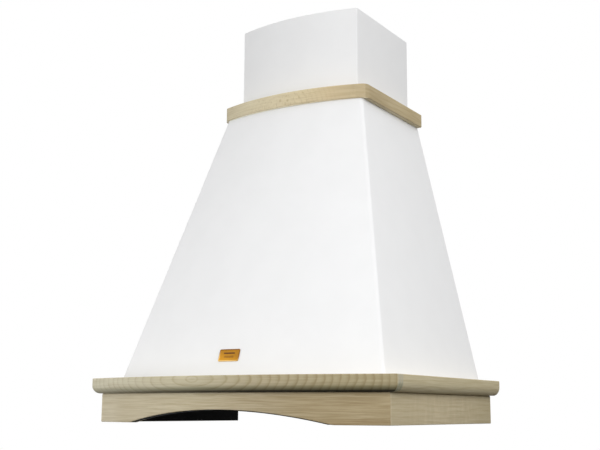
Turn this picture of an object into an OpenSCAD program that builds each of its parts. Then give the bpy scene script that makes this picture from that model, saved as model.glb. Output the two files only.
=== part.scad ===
// Wall chimney range hood with wooden cornice, skirt and collar.
// Millimetres, +Z up. The wall is the plane y = 0 and the front faces -Y.
// Heights are counted from the bottom of the skirt. in_frame() then moves each piece
// so that the origin lies in the middle of the four wall fixing holes.

/* [Overall] */
// Width over the cornice
hood_w = 600; // [580:5:640]
// Length of the cornice's straight sides, from the wall to the front corners
side_depth = 410; // [400:5:440]
// How far the middle of the cornice's front stands ahead of its corners
front_bow = 50; // [40:1:60]

/* [Cornice] */
// Height of the cornice rails
cornice_h = 26; // [24:1:32]
// Width of the cornice rails, seen from above
cornice_rail = 60; // [56:1:64]
// Radius of the rounded lower nose
nose_r = 12; // [6:1:16]
// Radius of the eased upper edge
ease_r = 1.5; // [0.5:0.5:3]
// Radius of the softened upright edges at the mitres
cornice_corner_r = 4; // [1:0.5:6]

/* [Skirt] */
// Height of the skirt boards
skirt_h = 49; // [44:1:56]
// Thickness of the skirt boards
skirt_t = 12; // [10:1:14]
// How far the side boards stand in from the cornice's sides
skirt_side_inset = 17; // [14:1:20]
// How far the front board stands in from the cornice's front
skirt_front_inset = 14; // [12:1:18]
// Gap between the wall and the rear ends of the skirt boards
skirt_wall_gap = 5; // [4:1:14]
// Width of the arch cut in the front board
arch_span = 396; // [340:2:400]
// Rise of the arch
arch_rise = 21.8; // [16:0.2:24]

/* [Lining] */
// Thickness of the black sheet that lines the skirt
liner_t = 1; // [0.8:0.1:1.5]
// Thickness of the lining's lip under the arch
lip_t = 0.8; // [0.6:0.1:1.2]
// How far the lip stays behind the front face of the board
lip_setback = 1.5; // [1:0.5:4]
// How far the lining ends above the bottom of the boards
liner_rise = 0.5; // [0.2:0.1:3]

/* [Canopy] */
// Height of the canopy, from the cornice to the collar
canopy_h = 493.5; // [480:0.5:520]
// How far the canopy's foot stands in from the cornice's sides
foot_side_inset = 39; // [36:1:42]
// How far the foot's front corners stand back from the cornice's corners
foot_corner_inset = 34.7; // [33:0.1:40]
// Bow of the canopy's front at its foot
foot_bow = 44; // [38:1:48]
// Width of the canopy at its top
canopy_top_w = 294; // [286:1:300]
// Length of the canopy's straight sides at its top
canopy_top_side = 228.5; // [216:0.5:232]
// Bow of the canopy's front at its top
canopy_top_bow = 22.5; // [18:0.5:28]
// Thickness of the canopy's sheet steel
sheet_t = 1.5; // [1:0.1:2]
// Outer radius of the canopy's folded corners
fold_r = 8; // [3:0.5:10]
// Width of the flange at the canopy's foot
foot_flange = 14; // [12:1:16]

/* [Chimney] */
// Width of the lower chimney cover
chimney_w = 252; // [240:1:256]
// Length of the chimney's straight sides
chimney_side = 207; // [200:1:210]
// Bow of the chimney's front
chimney_bow = 19.5; // [16:0.5:26]
// Height of the lower chimney cover
chimney_h = 181.5; // [150:0.5:320]
// Thickness of the chimney's sheet steel
chimney_t = 1; // [0.8:0.1:1.5]
// Width of the lower cover's rear flanges
chimney_flange = 10; // [8:1:14]
// Space between the two chimney covers
cover_gap = 0.5; // [0.3:0.1:0.8]

/* [Chimney bracket] */
// Height of the bracket's strap
strap_h = 24; // [20:1:30]
// Depth of the bracket's ears
bracket_ear = 16; // [12:1:20]
// Distance of the bracket's wall holes from the middle
bracket_hole_x = 80; // [60:1:100]
// Radius of the bracket's wall holes
bracket_hole_r = 3; // [2:0.5:4]

/* [Collar] */
// Height of the collar rails
collar_h = 26; // [20:1:30]
// Width of the collar rails, seen from above
collar_rail = 29.5; // [24:0.5:34]
// Radius of the collar's eased edges
collar_ease_r = 2; // [0.5:0.5:3]
// Radius of the softened upright edges at the collar's mitres
collar_corner_r = 8; // [2:0.5:10]

/* [Rear panel and wall fixing] */
// Thickness of the rear panel
panel_t = 1.5; // [1:0.1:2]
// Depth of the rear panel's side flanges
panel_flange = 16; // [12:1:24]
// Height of the middle of the wall fixing holes above the skirt's bottom
fix_h = 340; // [330:1:350]
// Sideways distance between the wall fixing holes
fix_span_x = 220; // [200:2:240]
// Upright distance between the wall fixing holes
fix_span_z = 280; // [260:2:290]
// Radius of the wall fixing holes
fix_r = 4.5; // [3:0.5:5]

/* [Underpan] */
// Thickness of the underpan
pan_t = 1.5; // [1:0.1:2]
// Distance from the wall to the rear edge of the filter apertures
pan_rear_zone = 51.5; // [48:0.5:60]
// Room for lamps and switches between the filter apertures and the skirt's front corners
pan_front_zone = 84; // [82:1:92]
// Width of the bar between the two filter apertures
pan_bar = 14; // [12:1:20]
// Distance from the cornice's inner edge to the filter apertures
pan_side_zone = 19; // [17:1:26]

/* [Filters] */
// Gap round a filter in its aperture
filter_gap = 2; // [1.5:0.5:3]
// Extra gap at the filter's rear edge, which lets it swing down
filter_swing_gap = 4; // [3.5:0.5:6]
// Thickness of the filter frames
filter_t = 9; // [8:0.5:10]
// How far the filter frames hang below the underpan
filter_drop = 2.5; // [2:0.5:3]
// Width of the filter frame's rails
filter_rail = 12; // [11:1:16]
// Thickness of the frame's front and back lips over the mesh
filter_lip_t = 1; // [0.8:0.1:1.5]
// Radius of the filter's pivot pins
pivot_r = 2; // [1.5:0.1:2.2]
// Running clearance of the pivot pins in their ears
pivot_gap = 0.06; // [0.02:0.01:0.1]
// Thickness of the ears that carry the pivot pins
ear_t = 1.5; // [1:0.1:2]

/* [Filter latches] */
// Width of a latch's tongue
latch_w = 20; // [16:1:26]
// Thickness of a latch's tongue
latch_t = 2; // [1.6:0.1:2.4]
// Travel of a latch
latch_travel = 6; // [4:0.5:7]
// Height of a latch's finger grip
latch_grip_h = 7; // [5:0.5:8]
// Space round a latch in the frame
latch_gap = 0.3; // [0.2:0.05:0.4]

/* [Blower] */
// Radius of the impeller
impeller_r = 75; // [70:1:77]
// Depth of the impeller blades
blade_depth = 14; // [12:1:16]
// Number of impeller blades
blade_count = 32; // [24:1:40]
// Thickness of the blades and of the impeller's rings
blade_t = 1.2; // [0.8:0.1:1.6]
// Width of the impeller
impeller_w = 92; // [80:2:94]
// Inside width of the scroll
scroll_w = 112; // [108:1:114]
// Radius of the scroll at its tongue
scroll_r0 = 82; // [80:1:84]
// Growth of the scroll's radius in each quarter turn
scroll_step = 14; // [12:1:15]
// Wall thickness of the scroll
scroll_t = 1.5; // [1:0.1:2]
// Height of the impeller's axis below the canopy's top
blower_drop = 139.5; // [136:0.5:150]
// Distance from the wall to the middle of the duct
duct_setback = 105; // [102:1:108]
// Radius of the blower's inlets
inlet_r = 52; // [48:1:54]
// Width of the flange at the scroll's outlet
outlet_flange = 10; // [8:1:12]

/* [Motor] */
// Radius of the motor
motor_r = 38; // [34:1:40]
// Length of the motor
motor_len = 66; // [60:1:70]
// Radius of the motor shaft
shaft_r = 4; // [3:0.5:5]
// Running clearance of the shaft in the motor
shaft_gap = 0.05; // [0.02:0.01:0.1]
// Radius at which the motor bracket is screwed to the blower
bracket_r = 70; // [66:1:72]
// Thickness of the motor bracket
bracket_t = 2; // [1.5:0.1:3]
// Height of the rubber dampers
damper_h = 6.5; // [5:0.5:8]

/* [Outlet collar] */
// Outer radius of the spigot that takes the duct
spigot_r = 59.5; // [55:0.5:60]
// Wall thickness of the spigot
spigot_t = 2; // [1.5:0.1:2.5]
// Height of the spigot above the canopy's top
spigot_h = 40; // [34:1:50]
// Thickness of the outlet collar's flange
collar_flange_t = 3; // [2:0.5:4]
// Radius of the flaps' pivot rod
rod_r = 1.5; // [1.2:0.1:2]
// Running clearance of the flaps on the rod
rod_gap = 0.06; // [0.02:0.01:0.1]
// Thickness of the non-return flaps
flap_t = 1; // [0.8:0.1:1.5]
// Space between the flaps and the spigot's wall
flap_gap = 0.9; // [0.6:0.1:1.5]

/* [Lamps] */
// Distance of each lamp from the middle of the hood
lamp_x = 150; // [140:1:160]
// Radius of the lamp rings
lamp_r = 30; // [27:0.5:31]
// Depth of the lamp cans above the underpan
lamp_h = 22; // [18:1:26]
// Distance from the lamps to the skirt's front corners, along Y
lamp_setback = 50; // [48:0.5:51]

/* [Switches] */
// Number of push buttons
button_count = 5; // [3:1:6]
// Distance between two buttons
button_pitch = 20; // [18:0.5:22]
// Width of a button
button_w = 14; // [12:0.5:15]
// Depth of a button
button_d = 10; // [9:0.5:11]
// Travel of a button
button_travel = 3; // [2:0.5:4]
// Distance from the switches to the skirt's front corners, along Y
switch_setback = 31; // [29:0.5:33]

/* [Small parts] */
// Width of the badge plate
badge_w = 40; // [30:1:50]
// Height of the badge plate
badge_h = 21; // [16:1:26]
// Thickness of the badge plate
badge_t = 1.2; // [0.8:0.1:2]
// Height of the badge's middle above the cornice, along Z
badge_rise = 33.5; // [28:0.5:60]
// Distance of the badge's middle from the hood's middle, to the left
badge_shift = 4; // [0:1:60]
// Radius of the screw shanks
screw_r = 2; // [1.5:0.1:2.2]
// Radius of the screw heads
screw_head_r = 3.8; // [3.4:0.1:4.2]
// Height of the screw heads
screw_head_h = 1.8; // [1.4:0.1:2.4]
// Radius of the hole through the cable gland
gland_bore_r = 4; // [3:0.5:5]
// Distance of the cable gland from the top plate's right end
gland_in = 55; // [48:1:60]

/* [Hidden] */

// Gap left between faces that lie against each other without touching
seat = 0.3;
// Overrun of cutting shapes past the faces that they cut
over = 1;
// Gap between a screw shank and its hole
screw_gap = 0.1;
// Facets of the large front arcs, and of the small round parts
fn_arc = 240;
fn_round = 48;
// Steps of the canopy's half front arc and of its corner folds
arc_steps = 24;
fold_steps = 5;

wood = [0.76, 0.70, 0.57];
white_paint = [0.95, 0.95, 0.94];
black_paint = [0.09, 0.09, 0.09];
zinc = [0.70, 0.71, 0.72];
grey_plastic = [0.30, 0.31, 0.33];
pale_plastic = [0.88, 0.88, 0.86];

// Radius of an arc with a given chord and bow
function arc_r(chord, bow) = (chord * chord / 4 + bow * bow) / (2 * bow);
// How far an arc of radius r falls back at a distance x from its middle
function fall(r, x) = r - sqrt(r * r - x * x);
// Points of an arc in a list, from angle a0 to a1
function arc_pts(cx, cy, r, a0, a1, n) =
    [for (i = [0:n]) [cx + r * cos(a0 + (a1 - a0) * i / n), cy + r * sin(a0 + (a1 - a0) * i / n)]];

// Levels
cornice_z = skirt_h;
foot_z = skirt_h + cornice_h;
top_z = foot_z + canopy_h;
plate_z = top_z - sheet_t;
chimney_top_z = top_z + chimney_h;
pan_z = skirt_h - pan_t;

// Cornice: reach is the distance from the wall to the middle of the front
cornice_reach = side_depth + front_bow;
cornice_r = arc_r(hood_w, front_bow);

// Skirt, concentric with the cornice
skirt_w = hood_w - 2 * skirt_side_inset;
skirt_reach = cornice_reach - skirt_front_inset;
skirt_r = cornice_r - skirt_front_inset;
skirt_corner_y = -skirt_reach + fall(skirt_r, skirt_w / 2);
arch_r = arc_r(arch_span, arch_rise);

// Lining and underpan, inside the skirt
lining_in = skirt_t + seat;
liner_in = lining_in + liner_t;
liner_top = pan_z - seat;

// Canopy outlines at the foot and at the top
foot_w = hood_w - 2 * foot_side_inset;
foot_side = side_depth - foot_corner_inset;
foot_reach = foot_side + foot_bow;
foot_r = arc_r(foot_w, foot_bow);
canopy_top_reach = canopy_top_side + canopy_top_bow;
canopy_top_r = arc_r(canopy_top_w, canopy_top_bow);
side_lean = atan((foot_w - canopy_top_w) / 2 / (plate_z - foot_z));
front_lean = atan((foot_reach - canopy_top_reach) / (plate_z - foot_z));

// Chimney and collar
chimney_reach = chimney_side + chimney_bow;
chimney_r = arc_r(chimney_w, chimney_bow);
collar_in = collar_rail + cover_gap;
collar_w = chimney_w + 2 * collar_in;
collar_reach = chimney_reach + collar_in;
collar_r = chimney_r + collar_in;
upper_in = chimney_t + cover_gap;
upper_wall_gap = chimney_t + cover_gap;

// Half width of the canopy's inside at a height z
function canopy_half(z) = foot_w / 2 - (z - foot_z) * tan(side_lean);
function canopy_inner_half(z) = canopy_half(z) - sheet_t / cos(side_lean) - seat;

// Filters and their apertures, on the right of the middle; the left ones are mirrored
aperture_x0 = pan_bar / 2;
aperture_x1 = hood_w / 2 - cornice_rail - pan_side_zone;
aperture_y0 = skirt_corner_y + pan_front_zone;
aperture_y1 = -pan_rear_zone;
filter_x0 = aperture_x0 + filter_gap;
filter_x1 = aperture_x1 - filter_gap;
filter_y0 = aperture_y0 + filter_gap + seat;
filter_y1 = aperture_y1 - filter_gap - filter_swing_gap;
filter_z = pan_z - filter_drop;
pivot_y = filter_y1 - pivot_r - over;
pivot_z = skirt_h + pivot_r + over;
ear_h = 2 * pivot_r + 3 * over;
ear_d = 2 * pivot_r + 4 * over;
pin_reach = filter_gap + seat + ear_t;

// Latches
latch_x = (filter_x0 + filter_x1) / 2;
latch_z = pan_z - (latch_t - pan_t) / 2;
latch_stem_w = latch_w - 8;
latch_stem_d = 5;
latch_stem_y = filter_y0 + 2.5;
latch_end_y = latch_stem_y + latch_stem_d;

// Blower: the scroll's axis runs along X
scroll_ra = scroll_r0 + scroll_step;
scroll_rb = scroll_ra + scroll_step;
scroll_rc = scroll_rb + scroll_step;
scroll_out = scroll_step / 2 + scroll_rc;
throat_mid = scroll_out - scroll_w / 2;
axis_y = -duct_setback - throat_mid;
axis_z = top_z - blower_drop;
throat_top = plate_z - collar_flange_t - axis_z;
cheek_x = scroll_w / 2;
blade_r0 = impeller_r - blade_depth;

// Motor
motor_x1 = -8;
motor_x0 = motor_x1 - motor_len;
bell_r = motor_r - 6;
bracket_x1 = -cheek_x - scroll_t - damper_h;
shaft_depth = 30;
hub_r = 12;
hub_x0 = motor_x1 + 2;
hub_len = 20;
nut_h = 5;
can_step = 8;
slot_in = 6;
slot_w = 4;
slot_depth = 3;
bracket_angles = [90, 210, 330];

// Outlet collar and flaps
boss_r = spigot_r + 4.5;
collar_half = scroll_w / 2 + outlet_flange + scroll_t;
spigot_in = spigot_r - spigot_t;
flap_r = spigot_in - flap_gap;
knuckle_r = rod_r + rod_gap + 1.4;
flap_start = knuckle_r + 0.5;
rod_z = top_z + knuckle_r + 3;
ledge_w = 3;
ledge_t = 2;
knuckle_n = 4;
knuckle_pitch = 2 * (flap_r - 6) / knuckle_n;

// Lamps
lamp_y = skirt_corner_y + lamp_setback;
lamp_hole_r = lamp_r - 5.5;
lens_r = lamp_r - 7;
lens_t = 2;
ring_t = 2.5;
ring_lip = 0.8;
ring_lip_w = 2;
can_r = lamp_r - 2;
can_t = 1;
bulb_r = 5;
bulb_h = 12;
holder_h = 5;

// Switches
switch_y = skirt_corner_y + switch_setback;
button_clear = 0.3;
button_flange = 1.5;
button_show = 4.5;
bezel_t = 2;
bezel_rim = 11;
housing_t = 1.5;
housing_h = 21;
switch_row = (button_count - 1) * button_pitch + button_w;
cutout_w = switch_row + 2 * button_flange + 3;
cutout_d = button_d + 2 * button_flange + 3;
housing_w = cutout_w + 8;
housing_d = cutout_d + 8;
stem_r = 3;
stem_gap = 0.06;
stem_top = skirt_h + 11;
block_z = stem_top - 3;

// Screws
screw_len = 12;
pan_screw_in = 5;

// Electrical parts
cap_x = -100;
cap_z = 275;
cap_r = 15;
cap_h = 52;
clip_rise = 18;
clip_h = 14;
clip_half = 26;
clip_t = 1;
clip_gap = 0.05;
cap_y = -panel_t - clip_t - clip_gap - cap_r;
box_x = 72;
box_z = 268;
gland_x = canopy_top_w / 2 - gland_in;
gland_y = -40;
gland_r = 8;
gland_nut_r = 11;
gland_nut_h = 6;
gland_below = 8;
gland_cap_h = 5;
gland_ring_h = 4;

module in_frame() {
    translate([0, 0, -fix_h]) children();
}

module both_sides() {
    children();
    mirror([1, 0, 0]) children();
}

// Outline seen from above: straight sides, flat at the wall, bowed at the front
module outline(w, reach, r, wall_y = 0) {
    intersection() {
        translate([-w / 2, -reach]) square([w, reach + wall_y]);
        translate([0, r - reach]) circle(r, $fn = fn_arc);
    }
}

// Corner points of a bowed ring of rails: outer and inner corner on the right side
function outer_corner(w, reach, r) = [w / 2, -reach + fall(r, w / 2)];
function inner_corner(w, reach, r, t) = [w / 2 - t, -reach + t + fall(r - t, w / 2 - t)];

// Bowed front rail, cut at the mitres. section is a list of [depth behind the face, height]
module front_rail(w, reach, r, t, section, h) {
    o = outer_corner(w, reach, r);
    i = inner_corner(w, reach, r, t);
    intersection() {
        translate([0, r - reach, 0]) rotate_extrude($fn = fn_arc)
            polygon([for (p = section) [r - p[0], p[1]]]);
        linear_extrude(h)
            polygon([[-o[0], o[1]], [-i[0], i[1]], i, o, [o[0], -reach - over], [-o[0], -reach - over]]);
    }
}

// Straight right-hand rail, cut at the mitre
module side_rail(w, reach, r, t, section, h, wall_gap = 0) {
    o = outer_corner(w, reach, r);
    i = inner_corner(w, reach, r, t);
    intersection() {
        translate([0, -wall_gap, 0]) rotate([90, 0, 0]) linear_extrude(-o[1] - wall_gap)
            polygon([for (p = section) [w / 2 - p[0], p[1]]]);
        linear_extrude(h) polygon([[o[0], 0], o, i, [i[0], 0]]);
    }
}

// Takes the sharp front corners off a bowed ring of rails, up to a height h
module corner_cuts(w, reach, r, corner_r, h) {
    x = w / 2 - corner_r;
    cy = r - reach;
    y = cy - sqrt(pow(r - corner_r, 2) - x * x);
    turn = atan2(y - cy, x);
    x_front = x + corner_r * cos(turn);
    x_out = w / 2 + over;
    y_out = y - corner_r - over;
    both_sides() translate([0, 0, -over]) linear_extrude(h + 2 * over) difference() {
        polygon([[w / 2, y], [x_out, y], [x_out, y_out], [x_front, y_out],
            [x_front, y + corner_r * sin(turn)]]);
        translate([x, y]) circle(corner_r, $fn = fn_round);
    }
}

// Sections of the three kinds of rail
cornice_section = concat(
    [[cornice_rail, 0]],
    [for (p = arc_pts(nose_r, nose_r, nose_r, -90, -180, 8)) p],
    [for (p = arc_pts(ease_r, cornice_h - ease_r, ease_r, 180, 90, 3)) p],
    [[cornice_rail, cornice_h]]);
skirt_section = [[0, 0], [skirt_t, 0], [skirt_t, skirt_h], [0, skirt_h]];
collar_section = concat(
    [[collar_rail, 0]],
    [for (p = arc_pts(collar_ease_r, collar_ease_r, collar_ease_r, -90, -180, 3)) p],
    [for (p = arc_pts(collar_ease_r, collar_h - collar_ease_r, collar_ease_r, 180, 90, 3)) p],
    [[collar_rail, collar_h]]);

// Places of the screws that hold the underpan up against the cornice
module at_pan_screws() {
    x_side = hood_w / 2 - cornice_rail + pan_screw_in;
    y_front = -cornice_reach + cornice_rail - pan_screw_in;
    for (s = [-1, 1], y = [-0.25, -0.75])
        translate([s * x_side, y * side_depth, 0]) children();
    for (s = [-1, 1]) translate([s * hood_w / 8, y_front + fall(cornice_r, hood_w / 8), 0]) children();
}

// Places of the screws that hold the canopy's foot flange down on the cornice
module at_foot_screws() {
    x_side = foot_w / 2 - foot_flange / 2 - sheet_t;
    y_front = -foot_reach + foot_flange / 2 + sheet_t;
    for (s = [-1, 1], y = [-0.2, -0.5, -0.8]) translate([s * x_side, y * foot_side, 0]) children();
    for (x = [-0.25, 0, 0.25]) translate([x * foot_w, y_front + fall(foot_r, x * foot_w), 0]) children();
}

module cornice_cuts() {
    translate([0, 0, cornice_z]) corner_cuts(hood_w, cornice_reach, cornice_r, cornice_corner_r, cornice_h);
    at_foot_screws() translate([0, 0, foot_z - screw_len - over])
        cylinder(r = screw_r + screw_gap, h = screw_len + 2 * over, $fn = fn_round);
    at_pan_screws() translate([0, 0, cornice_z - over])
        cylinder(r = screw_r + screw_gap, h = screw_len + 2 * over, $fn = fn_round);
}

module cornice_front() {
    color(wood) in_frame() difference() {
        translate([0, 0, cornice_z])
            front_rail(hood_w, cornice_reach, cornice_r, cornice_rail, cornice_section, cornice_h);
        cornice_cuts();
    }
}

module cornice_side() {
    translate([0, 0, cornice_z])
        side_rail(hood_w, cornice_reach, cornice_r, cornice_rail, cornice_section, cornice_h);
}

module cornice_right() {
    color(wood) in_frame() difference() {
        cornice_side();
        cornice_cuts();
    }
}

module cornice_left() {
    color(wood) in_frame() difference() {
        mirror([1, 0, 0]) cornice_side();
        cornice_cuts();
    }
}

// Lying cylinder whose upper side is the arch, grown or shrunk by a step
module arch_cylinder(step = 0) {
    translate([0, 0, arch_rise - arch_r]) rotate([90, 0, 0])
        cylinder(r = arch_r + step, h = cornice_reach + over, $fn = fn_arc);
}

module skirt_front() {
    color(wood) in_frame() difference() {
        front_rail(skirt_w, skirt_reach, skirt_r, skirt_t, skirt_section, skirt_h);
        arch_cylinder();
    }
}

module skirt_side() {
    side_rail(skirt_w, skirt_reach, skirt_r, skirt_t, skirt_section, skirt_h, skirt_wall_gap);
}

module skirt_right() {
    color(wood) in_frame() skirt_side();
}

module skirt_left() {
    color(wood) in_frame() mirror([1, 0, 0]) skirt_side();
}

// Upright bowed sheet of the lining, between two depths behind the skirt's face
module lining_band(depth0, depth1) {
    half = skirt_w / 2 - liner_in - seat;
    intersection() {
        difference() {
            translate([0, skirt_r - skirt_reach, 0])
                cylinder(r = skirt_r - depth0, h = liner_top, $fn = fn_arc);
            translate([0, skirt_r - skirt_reach, -over])
                cylinder(r = skirt_r - depth1, h = liner_top + 2 * over, $fn = fn_arc);
        }
        translate([-half, -skirt_reach, liner_rise])
            cube([2 * half, skirt_reach / 2, liner_top - liner_rise]);
    }
}

module liner_front() {
    color(black_paint) in_frame() {
        difference() {
            lining_band(lining_in, liner_in);
            arch_cylinder(-seat - lip_t);
        }
        difference() {
            intersection() {
                lining_band(lip_setback, liner_in);
                arch_cylinder(-seat);
            }
            arch_cylinder(-seat - lip_t);
        }
    }
}

module liner_side() {
    i = inner_corner(skirt_w, skirt_reach, skirt_r, liner_in);
    len = -i[1] - skirt_wall_gap - seat;
    translate([skirt_w / 2 - liner_in, -skirt_wall_gap - len, liner_rise])
        cube([liner_t, len, liner_top - liner_rise]);
}

module liner_right() {
    color(black_paint) in_frame() liner_side();
}

module liner_left() {
    color(black_paint) in_frame() mirror([1, 0, 0]) liner_side();
}

module collar_front() {
    color(wood) in_frame() translate([0, 0, top_z]) difference() {
        front_rail(collar_w, collar_reach, collar_r, collar_rail, collar_section, collar_h);
        corner_cuts(collar_w, collar_reach, collar_r, collar_corner_r, collar_h);
    }
}

module collar_side() {
    translate([0, 0, top_z]) difference() {
        side_rail(collar_w, collar_reach, collar_r, collar_rail, collar_section, collar_h);
        corner_cuts(collar_w, collar_reach, collar_r, collar_corner_r, collar_h);
    }
}

module collar_right() {
    color(wood) in_frame() collar_side();
}

module collar_left() {
    color(wood) in_frame() mirror([1, 0, 0]) collar_side();
}

// Points of a canopy outline from the right rear end round the front to the left rear end,
// moved inwards by an inset and rounded at the front corners
function folded_half(w, reach, r, inset, fold) = let(
        x = w / 2 - inset - fold,
        cy = r - reach,
        y = cy - sqrt(pow(r - inset - fold, 2) - x * x),
        turn = atan2(y - cy, x))
    concat([[w / 2 - inset, 0]], arc_pts(x, y, fold, 0, turn, fold_steps),
        [for (i = [1:arc_steps]) let(a = turn - (turn + 90) * i / arc_steps)
            [(r - inset) * cos(a), cy + (r - inset) * sin(a)]]);
function folded_pts(w, reach, r, inset, fold) = let(h = folded_half(w, reach, r, inset, fold))
    concat(h, [for (i = [len(h) - 2:-1:0]) [-h[i][0], h[i][1]]]);
function lifted(pts, z) = [for (p = pts) [p[0], p[1], z]];

// Folded sheet steel: outer wall, inner wall and the flange at the foot, open at the rear
module canopy_sheet() {
    foot_in = foot_flange + sheet_t;
    lip_z = foot_z + sheet_t;
    slope_in = sheet_t * (foot_w - canopy_top_w) / 2 / (plate_z - foot_z);
    rings = [
        lifted(folded_pts(foot_w, foot_reach, foot_r, 0, fold_r), foot_z),
        lifted(folded_pts(canopy_top_w, canopy_top_reach, canopy_top_r, 0, fold_r), plate_z),
        lifted(folded_pts(canopy_top_w, canopy_top_reach, canopy_top_r, sheet_t, fold_r - sheet_t), plate_z),
        lifted(folded_pts(foot_w, foot_reach, foot_r, sheet_t + slope_in, fold_r - sheet_t), lip_z),
        lifted(folded_pts(foot_w, foot_reach, foot_r, foot_in, 1), lip_z),
        lifted(folded_pts(foot_w, foot_reach, foot_r, foot_in, 1), foot_z)];
    m = len(rings);
    n = len(rings[0]);
    points = [for (i = [0:n - 1], k = [0:m - 1]) rings[k][i]];
    bands = [for (i = [0:n - 2], k = [0:m - 1]) let(
            a = i * m + k,
            b = i * m + (k + 1) % m)
        each [[a, b + m, b], [a, a + m, b + m]]];
    ends = [[for (k = [0:m - 1]) k], [for (k = [m - 1:-1:0]) (n - 1) * m + k]];
    polyhedron(points, concat(bands, ends));
}

module canopy_shell() {
    color(white_paint) in_frame() difference() {
        canopy_sheet();
        at_foot_screws() translate([0, 0, foot_z - over])
            cylinder(r = screw_r + screw_gap, h = sheet_t + 2 * over, $fn = fn_round);
    }
}

module canopy_top_plate() {
    w = canopy_top_w - 2 * seat;
    reach = canopy_top_reach - seat;
    r = canopy_top_r - seat;
    color(white_paint) in_frame() difference() {
        translate([0, 0, plate_z]) linear_extrude(sheet_t) outline(w, reach, r);
        translate([0, 0, plate_z]) corner_cuts(w, reach, r, fold_r - seat, sheet_t);
        translate([0, -duct_setback, plate_z - over])
            cylinder(r = boss_r + seat, h = sheet_t + 2 * over, $fn = fn_round);
        translate([gland_x, gland_y, plate_z - over])
            cylinder(r = gland_r + seat, h = sheet_t + 2 * over, $fn = fn_round);
        at_outlet_screws() translate([0, 0, plate_z - over])
            cylinder(r = screw_r + screw_gap, h = sheet_t + 2 * over, $fn = fn_round);
    }
}

module rear_panel() {
    tongue = hood_w / 2 - cornice_rail - seat;
    z0 = foot_z + sheet_t + seat;
    z1 = plate_z - seat;
    h0 = canopy_inner_half(z0);
    h1 = canopy_inner_half(z1);
    flange_w = panel_t / cos(side_lean);
    color(white_paint) in_frame() {
        difference() {
            rotate([90, 0, 0]) linear_extrude(panel_t)
                polygon([[-tongue, skirt_h + seat], [tongue, skirt_h + seat], [tongue, z0], [h0, z0],
                    [h1, z1], [-h1, z1], [-h0, z0], [-tongue, z0]]);
            for (sx = [-0.5, 0.5], sz = [-0.5, 0.5])
                translate([sx * fix_span_x, over, fix_h + sz * fix_span_z]) rotate([90, 0, 0])
                    cylinder(r = fix_r, h = panel_t + 2 * over, $fn = fn_round);
        }
        both_sides() rotate([90, 0, 0]) linear_extrude(panel_flange)
            polygon([[h0, z0], [h1, z1], [h1 - flange_w, z1], [h0 - flange_w, z0]]);
    }
}

module chimney_lower() {
    open_half = chimney_w / 2 - chimney_flange;
    color(white_paint) in_frame() translate([0, 0, top_z]) linear_extrude(chimney_h) difference() {
        outline(chimney_w, chimney_reach, chimney_r);
        outline(chimney_w - 2 * chimney_t, chimney_reach - chimney_t, chimney_r - chimney_t, -chimney_t);
        translate([-open_half, -chimney_t - over]) square([2 * open_half, chimney_t + 2 * over]);
    }
}

module chimney_upper() {
    w = chimney_w - 2 * upper_in;
    reach = chimney_reach - upper_in;
    r = chimney_r - upper_in;
    color(white_paint) in_frame() translate([0, 0, top_z + seat]) linear_extrude(chimney_h - over - seat)
        difference() {
            outline(w, reach, r);
            outline(w - 2 * chimney_t, reach - chimney_t, r - chimney_t, over);
            translate([-w, -upper_wall_gap]) square([2 * w, upper_wall_gap + over]);
        }
}

// Strap on the wall, stepped at its ends, with ears that the upper cover is screwed to
module chimney_bracket() {
    half = chimney_w / 2 - upper_in - chimney_t - seat;
    strap_half = chimney_w / 2 - chimney_flange - seat;
    joggle = strap_h / 4;
    step_y = -upper_wall_gap;
    z0 = chimney_top_z - strap_h - joggle;
    color(zinc) in_frame() {
        difference() {
            translate([-strap_half, -panel_t, z0]) cube([2 * strap_half, panel_t, strap_h]);
            for (s = [-1, 1]) translate([s * bracket_hole_x, over, z0 + strap_h / 2]) rotate([90, 0, 0])
                cylinder(r = bracket_hole_r, h = panel_t + 2 * over, $fn = fn_round);
        }
        both_sides() {
            translate([strap_half - joggle, step_y - panel_t, z0])
                cube([joggle, panel_t + upper_wall_gap, strap_h]);
            translate([strap_half - joggle, step_y - panel_t, z0])
                cube([half - strap_half + joggle, panel_t, strap_h]);
            translate([half - panel_t, step_y - bracket_ear, z0]) cube([panel_t, bracket_ear, strap_h]);
        }
    }
}

// Plate on the front of the canopy, with a raised rim
module badge_plate() {
    rim = 1.6;
    rise = badge_rise;
    y = -foot_reach + rise * tan(front_lean) + fall(foot_r, badge_shift);
    color([0.77, 0.56, 0.18]) in_frame()
        translate([-badge_shift, y, foot_z + rise]) rotate([90 - front_lean, 0, 0])
            translate([0, 0, seat]) difference() {
                translate([-badge_w / 2, -badge_h / 2, 0]) cube([badge_w, badge_h, badge_t]);
                translate([-badge_w / 2 + rim, -badge_h / 2 + rim, badge_t / 2])
                    cube([badge_w - 2 * rim, badge_h - 2 * rim, badge_t]);
            }
}

// Ear that carries one filter pivot pin
module pan_ear(x) {
    difference() {
        translate([x, pivot_y - ear_d / 2, skirt_h]) cube([ear_t, ear_d, ear_h]);
        translate([x - over, pivot_y, pivot_z]) rotate([0, 90, 0])
            cylinder(r = pivot_r + pivot_gap, h = ear_t + 2 * over, $fn = fn_round);
    }
}

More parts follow.
